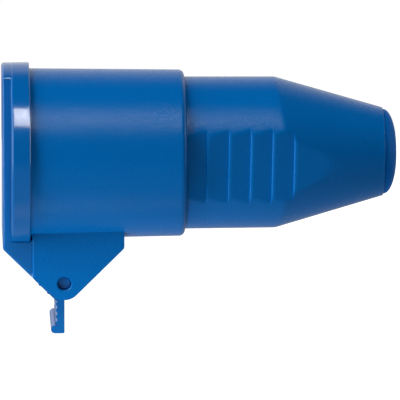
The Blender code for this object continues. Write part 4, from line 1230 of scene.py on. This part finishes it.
    def hollows(self) -> list[bpy.types.Object]:
        """Return the bodies that the lid's inside is cut with."""
        over = LID_OVERCUT
        rib_outer, rib_inner, rib_top = self.rib
        profile = [
            (self.inner, 0.0),
            (self.inner, rib_inner),
            (rib_top, rib_inner),
            (rib_top, rib_outer),
            (self.inner, rib_outer),
            (self.inner, self.inner_radius),
            (over, self.inner_radius),
            (over, 0.0),
        ]
        half = self.panel_half - self.panel_wall
        low = (self.panel_face + self.panel_wall, -half, -self.pocket_half)
        high = (self.inner + OVERCUT / 2, half, self.pocket_half)
        pocket = block("lid_pocket", low, high)
        top = -self.radius - OVERCUT / 2
        front = self.hinge.slope(top, -self.chin_wall)[1]
        rear = self.chin_rear + over
        wedge = [(front, top), self.hinge.slope(rear, -self.chin_wall), (rear, top)]
        chin = prism("lid_chin_hollow", wedge, self.chin_half - self.chin_wall, SIDE_PLANE)
        return [turn("lid_inside", profile), pocket, chin]

    def build(self) -> bpy.types.Object:
        """Make the lid and dress it."""
        piece = self.cap()
        combine(piece, Operation.JOIN, self.panel(), self.chin())
        combine(piece, Operation.CUT, *self.hollows())
        combine(piece, Operation.JOIN, self.blade(), self.cheek_plate(-1), self.cheek_plate(1))
        combine(piece, Operation.CUT, self.hinge.bore("lid_holes", self.bore_half))
        return dress(piece, POLISHED_BLUE, Body.LID, "lid")


@dataclass
class HingePin:
    """Plain pin through both ears and both knuckles.

    Attributes:
        hinge: The hinge that it belongs to.
        radius: The pin's radius.
        half: Half the pin's length.
        chamfer: The chamfer at its ends.
    """

    hinge: Hinge
    radius: float = 2.2 * MM
    half: float = 14.4 * MM
    chamfer: float = 0.3 * MM

    def build(self) -> bpy.types.Object:
        """Make the pin and dress it."""
        inner = self.radius - self.chamfer
        end = arc((self.half - self.chamfer, inner), self.chamfer, 90, 0, 4)
        mirrored = [(-along, radius) for along, radius in reversed(end)]
        profile = [(-self.half, 0.0), *mirrored, *end, (self.half, 0.0)]
        piece = turn("hinge_pin_turned", profile, self.hinge.frame, FINE_STEPS)
        return dress(piece, POLISHED_BLUE, Body.COUPLER, "hinge_pin", even=False)


@dataclass
class LidSpring:
    """Torsion spring on the hinge pin, one leg on the lever and one on the shroud.

    Attributes:
        hinge: The hinge that it belongs to.
        wire: The wire's diameter.
        mean: The coil's mean radius.
        turns: The number of turns.
        length: The coil's length.
        steps: How many points a turn has.
        lever_leg: End of the leg behind the lever.
        shroud_radius: Radius of the shroud that the other leg reaches.
        shroud_gap: How far the wire's middle lies from the shroud.
    """

    hinge: Hinge
    wire: float = 0.9 * MM
    mean: float = 3.0 * MM
    turns: float = 6.125
    length: float = 11.0 * MM
    steps: int = 28
    lever_leg: tuple[float, float] = (11.55 * MM, -47.4 * MM)
    shroud_radius: float = 28.4 * MM
    shroud_gap: float = 0.75 * MM

    def path(self) -> list[Vector]:
        """Return the points along the wire."""
        start = -self.length / 2
        points = [Vector((self.lever_leg[0], start, self.lever_leg[1]))]
        count = round(self.turns * self.steps)
        for step in range(count + 1):
            angle = math.tau * self.turns * step / count
            along = self.hinge.x + self.mean * math.cos(angle)
            up = self.mean * math.sin(angle) - self.hinge.drop
            points.append(Vector((along, start + self.length * step / count, up)))
        top = -math.sqrt(self.shroud_radius ** 2 - (self.length / 2) ** 2) - self.shroud_gap
        last = points[-1]
        points.append(Vector((last.x - (top - last.z), last.y, top)))
        return points

    def build(self) -> bpy.types.Object:
        """Make the spring and dress it."""
        piece = draw_chain("lid_spring_wire", self.path(), closed=False)
        bpy.ops.object.mode_set(mode="OBJECT")
        activate(piece)
        bpy.ops.object.convert(target="CURVE")
        piece = bpy.context.object
        piece.data.bevel_depth = self.wire / 2
        piece.data.bevel_resolution = 3
        piece.data.use_fill_caps = True
        bpy.ops.object.convert(target="MESH")
        piece = bpy.context.object
        bpy.ops.object.mode_set(mode="EDIT")
        close_mesh()
        return dress(piece, ZINC_STEEL, Body.COUPLER, "lid_spring", even=False)


@dataclass
class Contact:
    """One slotted contact sleeve, with sizes that follow from its pin.

    Attributes:
        name: The contact's name.
        pin: Radius of the plug's pin.
        angle: Angle about the axis from the top, in degrees.
        pitch: Radius of the circle that the contacts stand on.
        entry_gap: Room round the pin in the carrier's face.
        bore_gap: Room round the pin in the sleeve.
        wall: The sleeve's wall.
        chamber_gap: Room round the sleeve in its chamber.
        front: Place of the sleeve's front end.
        soft: Chamfer of the sleeve's and the terminal's ends.
        depth: Place where the bore ends.
        collar: Front and rear of the collar.
        collar_step: How far the collar stands out from the chamber.
        end: Place of the terminal's end.
        terminal_step: How much thicker than the sleeve the terminal is.
        wire: Place of the wire hole's bottom and its radius.
        screw: Place of the terminal screw and its hole's radius.
        slot: Front and rear of the slots' cut, and half their width.
    """

    name: str
    pin: float
    angle: float
    pitch: float = 10.75 * MM
    entry_gap: float = 0.2 * MM
    bore_gap: float = 0.1 * MM
    wall: float = 1.2 * MM
    chamber_gap: float = 1.2 * MM
    front: float = 1.7 * MM
    soft: float = 0.4 * MM
    depth: float = 34.0 * MM
    collar: tuple[float, float] = (40.3 * MM, 42.3 * MM)
    collar_step: float = 1.1 * MM
    end: float = 58.0 * MM
    terminal_step: float = 0.5 * MM
    wire: tuple[float, float] = (47.0 * MM, 2.0 * MM)
    screw: tuple[float, float] = (52.5 * MM, 1.75 * MM)
    slot: tuple[float, float, float] = (0.7 * MM, 17.7 * MM, 0.4 * MM)

    @property
    def frame(self) -> Matrix:
        """The contact's frame, its X along the socket and its Z pointing outwards."""
        lift = Matrix.Translation((0.0, 0.0, self.pitch))
        return Matrix.Rotation(math.radians(self.angle), 4, "X") @ lift

    @property
    def entry(self) -> float:
        """Radius of the hole in the carrier's face."""
        return self.pin + self.entry_gap

    @property
    def bore(self) -> float:
        """Radius of the sleeve's bore."""
        return self.pin + self.bore_gap

    @property
    def sleeve(self) -> float:
        """Outside radius of the sleeve."""
        return self.bore + self.wall

    @property
    def chamber(self) -> float:
        """Radius of the chamber in the carrier."""
        return self.sleeve + self.chamber_gap

    def build(self) -> bpy.types.Object:
        """Make the sleeve with its collar and terminal, and dress it."""
        front, soft = self.front, self.soft
        terminal = self.sleeve + self.terminal_step
        collar = self.chamber + self.collar_step
        collar_front, collar_rear = self.collar
        wire_end, wire_radius = self.wire
        profile = [
            (self.depth, 0.0),
            (self.depth, self.bore),
            (front + soft, self.bore),
            (front, self.bore + soft),
            (front, self.sleeve - soft),
            (front + soft, self.sleeve),
            (collar_front, self.sleeve),
            (collar_front, collar),
            (collar_rear, collar),
            (collar_rear, terminal),
            (self.end - soft, terminal),
            (self.end, terminal - soft),
            (self.end, wire_radius),
            (wire_end, wire_radius),
            (wire_end, 0.0),
        ]
        piece = turn(f"{self.name}_sleeve", profile, self.frame @ ALONG_X, SMALL_STEPS)
        start, stop, slot = self.slot
        wide = self.chamber
        upright = block("slot_upright", (start, -slot, -wide), (stop, slot, wide), self.frame)
        level = block("slot_level", (start, -wide, -slot), (stop, wide, slot), self.frame)
        place, radius = self.screw
        top = terminal + OVERCUT
        hole = turn(
            "terminal_hole",
            [(0.0, 0.0), (0.0, radius), (top, radius), (top, 0.0)],
            self.frame @ Matrix.Translation((place, 0.0, 0.0)),
            SMALL_STEPS,
        )
        combine(piece, Operation.CUT, upright, level, hole)
        return dress(piece, NICKELLED_BRASS, Body.COUPLER, f"{self.name}_contact")


@dataclass
class ContactCarrier:
    """Insulating block with a chamber for each contact, a key and a flange.

    Attributes:
        contacts: The contacts that it carries.
        radius: The block's radius.
        flange: Front, rear and radius of the flange.
        rear: Place of the rear face.
        edge: Rounding of the front edge.
        key: Half width and top of the key.
        key_foot: Height of the key's foot, inside the block.
        key_inset: How far the key stands back from the face, and how far it enters the flange.
        key_soft: Rounding of the key's edges.
        lead: Depth of the funnel at each chamber's mouth.
        skin: Thickness of the face in front of the chambers.
        screw: Place of a cover screw to each side and above the axis.
        screw_seat: Place of the seat under its head.
        screw_head: Radius of the recess for its head.
        screw_hole: Radius of the hole for a screw's shank.
        blind: Bottom of the retainer screw's hole.
    """

    contacts: Sequence[Contact]
    radius: float = 21.2 * MM
    flange: tuple[float, float, float] = (32.5 * MM, 35.1 * MM, 25.7 * MM)
    rear: float = 40.0 * MM
    edge: float = 0.6 * MM
    key: tuple[float, float] = (2.2 * MM, 23.5 * MM)
    key_foot: float = 18.9 * MM
    key_inset: float = 0.5 * MM
    key_soft: float = 0.35 * MM
    lead: float = 0.5 * MM
    skin: float = 1.4 * MM
    screw: tuple[float, float] = (13.856 * MM, 8.0 * MM)
    screw_seat: float = 30.0 * MM
    screw_head: float = 3.3 * MM
    screw_hole: float = 1.8 * MM
    blind: float = 28.3 * MM

    def blank(self) -> bpy.types.Object:
        """Return the block with its key and flange."""
        edge = self.edge
        front, rear, wide = self.flange
        profile = [
            (0.0, 0.0),
            *arc((edge, self.radius - edge), edge, 180, 90, 5),
            (front, self.radius),
            (front, wide),
            (rear, wide),
            (rear, self.radius),
            (self.rear, self.radius),
            (self.rear, 0.0),
        ]
        piece = turn("contact_block", profile)
        half, top = self.key
        key = block("block_key", (self.key_inset, -half, self.key_foot), (front + self.key_inset, half, top))
        return combine(piece, Operation.JOIN, soften(key, self.key_soft))

    def chamber(self, contact: Contact) -> bpy.types.Object:
        """Return the body that one contact's chamber is cut with.

        Args:
            contact: The contact.

        Returns:
            The cutting body, with a funnel at the face.
        """
        over = OVERCUT
        profile = [
            (-over, 0.0),
            (-over, contact.entry + self.lead + over),
            (self.lead, contact.entry),
            (self.skin, contact.entry),
            (self.skin, contact.chamber),
            (self.rear + over, contact.chamber),
            (self.rear + over, 0.0),
        ]
        return turn("chamber", profile, contact.frame @ ALONG_X, FINE_STEPS)

    def screw_recess(self, side: int) -> bpy.types.Object:
        """Return the body that one cover screw's recess is cut with.

        Args:
            side: -1 for the near side and 1 for the far side.

        Returns:
            The cutting body.
        """
        over = OVERCUT
        profile = [
            (-over, 0.0),
            (-over, self.screw_head),
            (self.screw_seat, self.screw_head),
            (self.screw_seat, self.screw_hole),
            (self.rear + over, self.screw_hole),
            (self.rear + over, 0.0),
        ]
        across, up = self.screw
        frame = Matrix.Translation((0.0, side * across, up)) @ ALONG_X
        return turn("screw_recess", profile, frame, SMALL_STEPS)

    def build(self) -> bpy.types.Object:
        """Make the carrier and dress it."""
        piece = self.blank()
        for contact in self.contacts:
            combine(piece, Operation.CUT, self.chamber(contact))
        combine(piece, Operation.CUT, self.screw_recess(-1), self.screw_recess(1))
        rear = self.rear + OVERCUT
        hole = [(self.blind, 0.0), (self.blind, self.screw_hole), (rear, self.screw_hole), (rear, 0.0)]
        combine(piece, Operation.CUT, turn("retainer_hole", hole, ALONG_X, SMALL_STEPS))
        return dress(piece, GREY_POLYAMIDE, Body.COUPLER, "contact_carrier")


@dataclass
class Seals:
    """The lid's flat gasket and the ring between housing and cover.

    Attributes:
        gasket: Front, rear, inner and outer size of the lid's gasket.
        soft: Rounding of the gasket's edges.
        ring: Place, radius and section radius of the body seal.
    """

    gasket: tuple[float, float, float, float] = (-4.8 * MM, -3.3 * MM, 25.4 * MM, 28.5 * MM)
    soft: float = 0.3 * MM
    ring: tuple[float, float, float] = (44.1 * MM, 24.7 * MM, 0.6 * MM)

    def build(self) -> None:
        """Make both seals and dress them."""
        front, rear, inner, outer = self.gasket
        soft = self.soft
        profile = [
            (front, inner),
            (front, outer),
            *arc((rear - soft, outer - soft), soft, 90, 0, 4),
            *arc((rear - soft, inner + soft), soft, 0, -90, 4),
        ]
        dress(turn("lid_gasket_ring", profile), BLACK_RUBBER, Body.LID, "lid_gasket", even=False)
        place, radius, section = self.ring
        circle = arc((place, radius), section, 0, 360, 16)[:-1]
        dress(turn("body_seal_ring", circle), BLACK_RUBBER, Body.COUPLER, "body_seal", even=False)


@dataclass
class InnerPiece:
    """A hidden piece that keeps its CAD shape, with its edges eased.

    Attributes:
        node: The CAD node.
        finish: The piece's finish.
        edge: The width of its eased edges.
    """

    node: str
    finish: Finish
    edge: float = 0.12 * MM

    def build(self, nodes: Mapping[str, bpy.types.Object]) -> bpy.types.Object:
        """Copy the node, merge its loose triangles, ease its edges and dress it.

        Args:
            nodes: The CAD nodes by name.

        Returns:
            The new piece.
        """
        piece = bpy.data.objects.new(f"{self.node}_eased", nodes[self.node].data.copy())
        bpy.context.scene.collection.objects.link(piece)
        soften(merge_flats(piece), self.edge, 2)
        return dress(piece, self.finish, Body.COUPLER, self.node)


@dataclass
class Stage:
    """White surroundings: a floor under the socket and a world that shows white.

    Attributes:
        floor_height: Height of the floor.
        floor_size: Side of the floor.
        middle: Place of the floor's middle along the socket.
        paper: The floor's sRGB colour.
        ambient: Strength of the surroundings as soft light.
        dim: How bright the room in front of the socket is in reflections.
        lift: Glow that brings the lit floor up to white.
        mirrored: Share of that glow that shows in reflections.
        bounce: Share of that glow that fills the socket's underside from right below.
        reach: How far from there the fill fades out.
        backdrop: How far back a reflection points where the white backdrop starts and is full.
        ceiling: How far up it points where the dim ceiling starts and is full.
    """

    floor_height: float = -220.0 * MM
    floor_size: float = 14.0
    middle: float = 0.08
    paper: str = "646464"
    ambient: float = 0.03
    dim: float = 0.05
    lift: float = 0.98
    mirrored: float = 0.3
    bounce: float = 0.5
    reach: float = 0.4
    backdrop: tuple[float, float] = (-0.1, 0.5)
    ceiling: tuple[float, float] = (0.6, 0.8)

    @staticmethod
    def reflected(tree: bpy.types.NodeTree) -> bpy.types.NodeSocket:
        """Return 1 for rays that show the background in a surface.

        Args:
            tree: The node tree to add to.

        Returns:
            The socket with the result.
        """
        path = add_node(tree, "ShaderNodeLightPath", {})
        both = add_node(
            tree,
            "ShaderNodeMath",
            {0: path.outputs["Is Glossy Ray"], 1: path.outputs["Is Transmission Ray"]},
            operation="MAXIMUM",
        )
        return both.outputs[0]

    def build_floor(self) -> None:
        """Make the floor, which shows white and keeps the socket's shadow."""
        clear_selection()
        place = (self.middle, 0.0, self.floor_height)
        bpy.ops.mesh.primitive_plane_add(size=self.floor_size, location=place)
        floor = bpy.context.object
        floor.name = "studio_floor"
        material = bpy.data.materials.new("white_studio_paper")
        material.use_nodes = True
        tree = material.node_tree
        tree.nodes.clear()
        paper = add_node(tree, "ShaderNodeBsdfDiffuse", {"Color": linear(self.paper)})
        glow = add_node(tree, "ShaderNodeEmission", {"Color": linear("FFFFFF"), "Strength": self.lift})
        bright = add_node(tree, "ShaderNodeAddShader", {0: paper.outputs[0], 1: glow.outputs[0]})
        path = add_node(tree, "ShaderNodeLightPath", {})
        spot = add_node(tree, "ShaderNodeTexCoord", {}).outputs["Object"]
        away = add_node(tree, "ShaderNodeVectorMath", {0: spot}, operation="LENGTH")
        below = add_node(
            tree,
            "ShaderNodeMapRange",
            {"Value": away.outputs["Value"], "From Min": 0.0, "From Max": self.reach,
             "To Min": self.bounce, "To Max": 0.0},
        )
        mirrored = add_node(
            tree, "ShaderNodeMath", {0: self.reflected(tree), 1: self.mirrored}, operation="MULTIPLY"
        )
        unseen = add_node(
            tree,
            "ShaderNodeMath",
            {0: path.outputs["Is Diffuse Ray"], 1: below.outputs["Result"], 2: mirrored.outputs[0]},
            operation="MULTIPLY_ADD",
        )
        shown = add_node(
            tree,
            "ShaderNodeMath",
            {0: path.outputs["Is Camera Ray"], 1: unseen.outputs[0]},
            operation="MAXIMUM",
        )
        mixed = add_node(
            tree, "ShaderNodeMixShader", {0: shown.outputs[0], 1: paper.outputs[0], 2: bright.outputs[0]}
        )
        add_node(tree, "ShaderNodeOutputMaterial", {"Surface": mixed.outputs[0]})
        floor.data.materials.append(material)

    def build_world(self) -> None:
        """Make a world with a white backdrop behind the socket and a dim room in front."""
        world = bpy.data.worlds.new("white_studio")
        bpy.context.scene.world = world
        world.use_nodes = True
        tree = world.node_tree
        tree.nodes.clear()
        way = add_node(tree, "ShaderNodeTexCoord", {}).outputs["Generated"]
        parts = add_node(tree, "ShaderNodeSeparateXYZ", {0: way})
        backdrop = add_node(
            tree,
            "ShaderNodeMapRange",
            {"Value": parts.outputs["Y"], "From Min": self.backdrop[0], "From Max": self.backdrop[1],
             "To Min": self.dim, "To Max": 1.0},
        )
        ceiling = add_node(
            tree,
            "ShaderNodeMapRange",
            {"Value": parts.outputs["Z"], "From Min": self.ceiling[0], "From Max": self.ceiling[1],
             "To Min": 1.0, "To Max": self.dim},
        )
        room = add_node(
            tree,
            "ShaderNodeMath",
            {0: backdrop.outputs["Result"], 1: ceiling.outputs["Result"]},
            operation="MULTIPLY",
        )
        unseen = add_node(
            tree,
            "ShaderNodeMapRange",
            {"Value": self.reflected(tree), "To Min": self.ambient, "To Max": room.outputs[0]},
        )
        path = add_node(tree, "ShaderNodeLightPath", {})
        level = add_node(
            tree,
            "ShaderNodeMapRange",
            {"Value": path.outputs["Is Camera Ray"], "To Min": unseen.outputs["Result"], "To Max": 1.0},
        )
        sky = add_node(
            tree, "ShaderNodeBackground", {"Color": linear("FFFFFF"), "Strength": level.outputs["Result"]}
        )
        add_node(tree, "ShaderNodeOutputWorld", {"Surface": sky.outputs[0]})

    def build(self) -> None:
        """Make the floor and the world."""
        self.build_floor()
        self.build_world()


@dataclass
class Softbox:
    """A rectangular lamp that looks at a point of the socket.

    Attributes:
        name: The lamp's name.
        azimuth: Direction from the front, towards +X, in degrees.
        elevation: Direction above the horizon, in degrees.
        distance: Distance from its target.
        width: Its width.
        height: Its height.
        watts: Its power.
        target: The point that it looks at.
        mirrored: Whether it shows in reflections.
    """

    name: str
    azimuth: float
    elevation: float
    distance: float
    width: float
    height: float
    watts: float
    target: tuple[float, float, float] = (0.055, 0.0, 0.0)
    mirrored: bool = True

    def build(self) -> bpy.types.Object:
        """Make the lamp in its place."""
        clear_selection()
        back = direction(self.azimuth, self.elevation)
        bpy.ops.object.light_add(type="AREA", location=Vector(self.target) + back * self.distance)
        lamp = bpy.context.object
        lamp.name = self.name
        lamp.rotation_euler = back.to_track_quat("Z", "Y").to_euler()
        lamp.data.shape = "RECTANGLE"
        lamp.data.size = self.width
        lamp.data.size_y = self.height
        lamp.data.energy = self.watts
        lamp.visible_glossy = self.mirrored
        return lamp


def direction(azimuth: float, elevation: float) -> Vector:
    """Return the direction from the socket to a camera or lamp.

    Args:
        azimuth: Angle from the front towards +X, in degrees.
        elevation: Angle above the horizon, in degrees.

    Returns:
        A unit vector.
    """
    side = math.radians(azimuth)
    rise = math.radians(elevation)
    return Vector((math.sin(side) * math.cos(rise), -math.cos(side) * math.cos(rise), math.sin(rise)))


# A narrow key above draws the highlight along the top, a broad lamp lights the near
# side from the lid's end, a small card fills the underside, and two more lamps light
# the cable end and the far side.
LAMPS = (
    Softbox(
        name="key_softbox", azimuth=2.0, elevation=59.0, distance=1.0, width=0.035, height=0.40,
        watts=3.5, target=(-0.004, 0.0, 0.0),
    ),
    Softbox(
        name="side_softbox", azimuth=-66.0, elevation=24.0, distance=1.0, width=0.45, height=1.40,
        watts=17.0,
    ),
    Softbox(
        name="fill_card", azimuth=-25.0, elevation=-50.0, distance=0.16, width=0.16, height=0.06,
        watts=0.3, target=(0.03, 0.0, -0.05), mirrored=False,
    ),
    Softbox(
        name="end_softbox", azimuth=95.0, elevation=10.0, distance=0.8, width=0.3, height=0.5,
        watts=2.4,
    ),
    Softbox(
        name="back_softbox", azimuth=180.0, elevation=-4.0, distance=1.0, width=0.8, height=0.6,
        watts=9.0, mirrored=False,
    ),
)


@dataclass
class PhotoCamera:
    """Camera at the photograph's viewing angle.

    Attributes:
        azimuth: Direction from the front, towards +X, in degrees.
        elevation: Direction above the horizon, in degrees.
        distance: Distance from the socket's axis.
        scale: Pixels of the picture to a millimetre of the socket.
        origin: Pixel of the picture where the origin shows.
        roll: How far the camera is tilted to its left, in degrees.
    """

    azimuth: float = -2.8
    elevation: float = 13.5
    distance: float = 1.9
    scale: float = 3.006
    origin: tuple[float, float] = (31.0, 153.6)
    roll: float = 0.24

    def build(self) -> bpy.types.Object:
        """Make the camera and let the scene use it."""
        clear_selection()
        back = direction(self.azimuth, self.elevation)
        tilt = Quaternion((0.0, 0.0, 1.0), math.radians(self.roll))
        turned = back.to_track_quat("Z", "Y") @ tilt
        right = turned @ Vector((1.0, 0.0, 0.0))
        up = turned @ Vector((0.0, 1.0, 0.0))
        metres = MM / self.scale
        middle = PHOTO_PIXELS / 2
        aim = right * (middle - self.origin[0]) * metres + up * (self.origin[1] - middle) * metres
        bpy.ops.object.camera_add(location=aim + back * self.distance, rotation=turned.to_euler())
        camera = bpy.context.object
        camera.name = "photo_camera"
        camera.data.sensor_width = SENSOR_WIDTH
        camera.data.lens = SENSOR_WIDTH * self.distance / (PHOTO_PIXELS * metres)
        camera.data.clip_end = VIEW_DEPTH
        bpy.context.scene.camera = camera
        return camera


def main() -> None:
    """Build the socket's pieces in order and light them."""
    logging.basicConfig(level=logging.INFO, format="%(message)s")
    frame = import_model()
    bpy.context.scene.view_settings.view_transform = "Standard"
    hinge = Hinge()
    contacts = (
        Contact("earth", 3.0 * MM, 0.0),
        Contact("live", 2.5 * MM, 120.0),
        Contact("neutral", 2.5 * MM, -120.0),
    )
    FrontHousing(hinge).build()
    RearCover().build()
    CableBush().build()
    Lid(hinge).build()
    HingePin(hinge).build()
    LidSpring(hinge).build()
    Seals().build()
    ContactCarrier(contacts).build()
    for contact in contacts:
        contact.build()
        InnerPiece(f"{contact.name}_contact_spring", ZINC_STEEL, THIN_EDGE).build(frame["nodes"])
        InnerPiece(f"{contact.name}_terminal_screw", ZINC_STEEL).build(frame["nodes"])
    for node in ("contact_retainer", "clamp_bar"):
        InnerPiece(node, GREY_POLYAMIDE, MOULDED_EDGE).build(frame["nodes"])
    for node in ("retainer_screw", "clamp_screw_1", "clamp_screw_2", "cover_screw_1", "cover_screw_2"):
        InnerPiece(node, ZINC_STEEL).build(frame["nodes"])
    Stage().build()
    for lamp in LAMPS:
        lamp.build()
    PhotoCamera().build()


if __name__ == "__main__":
    main()
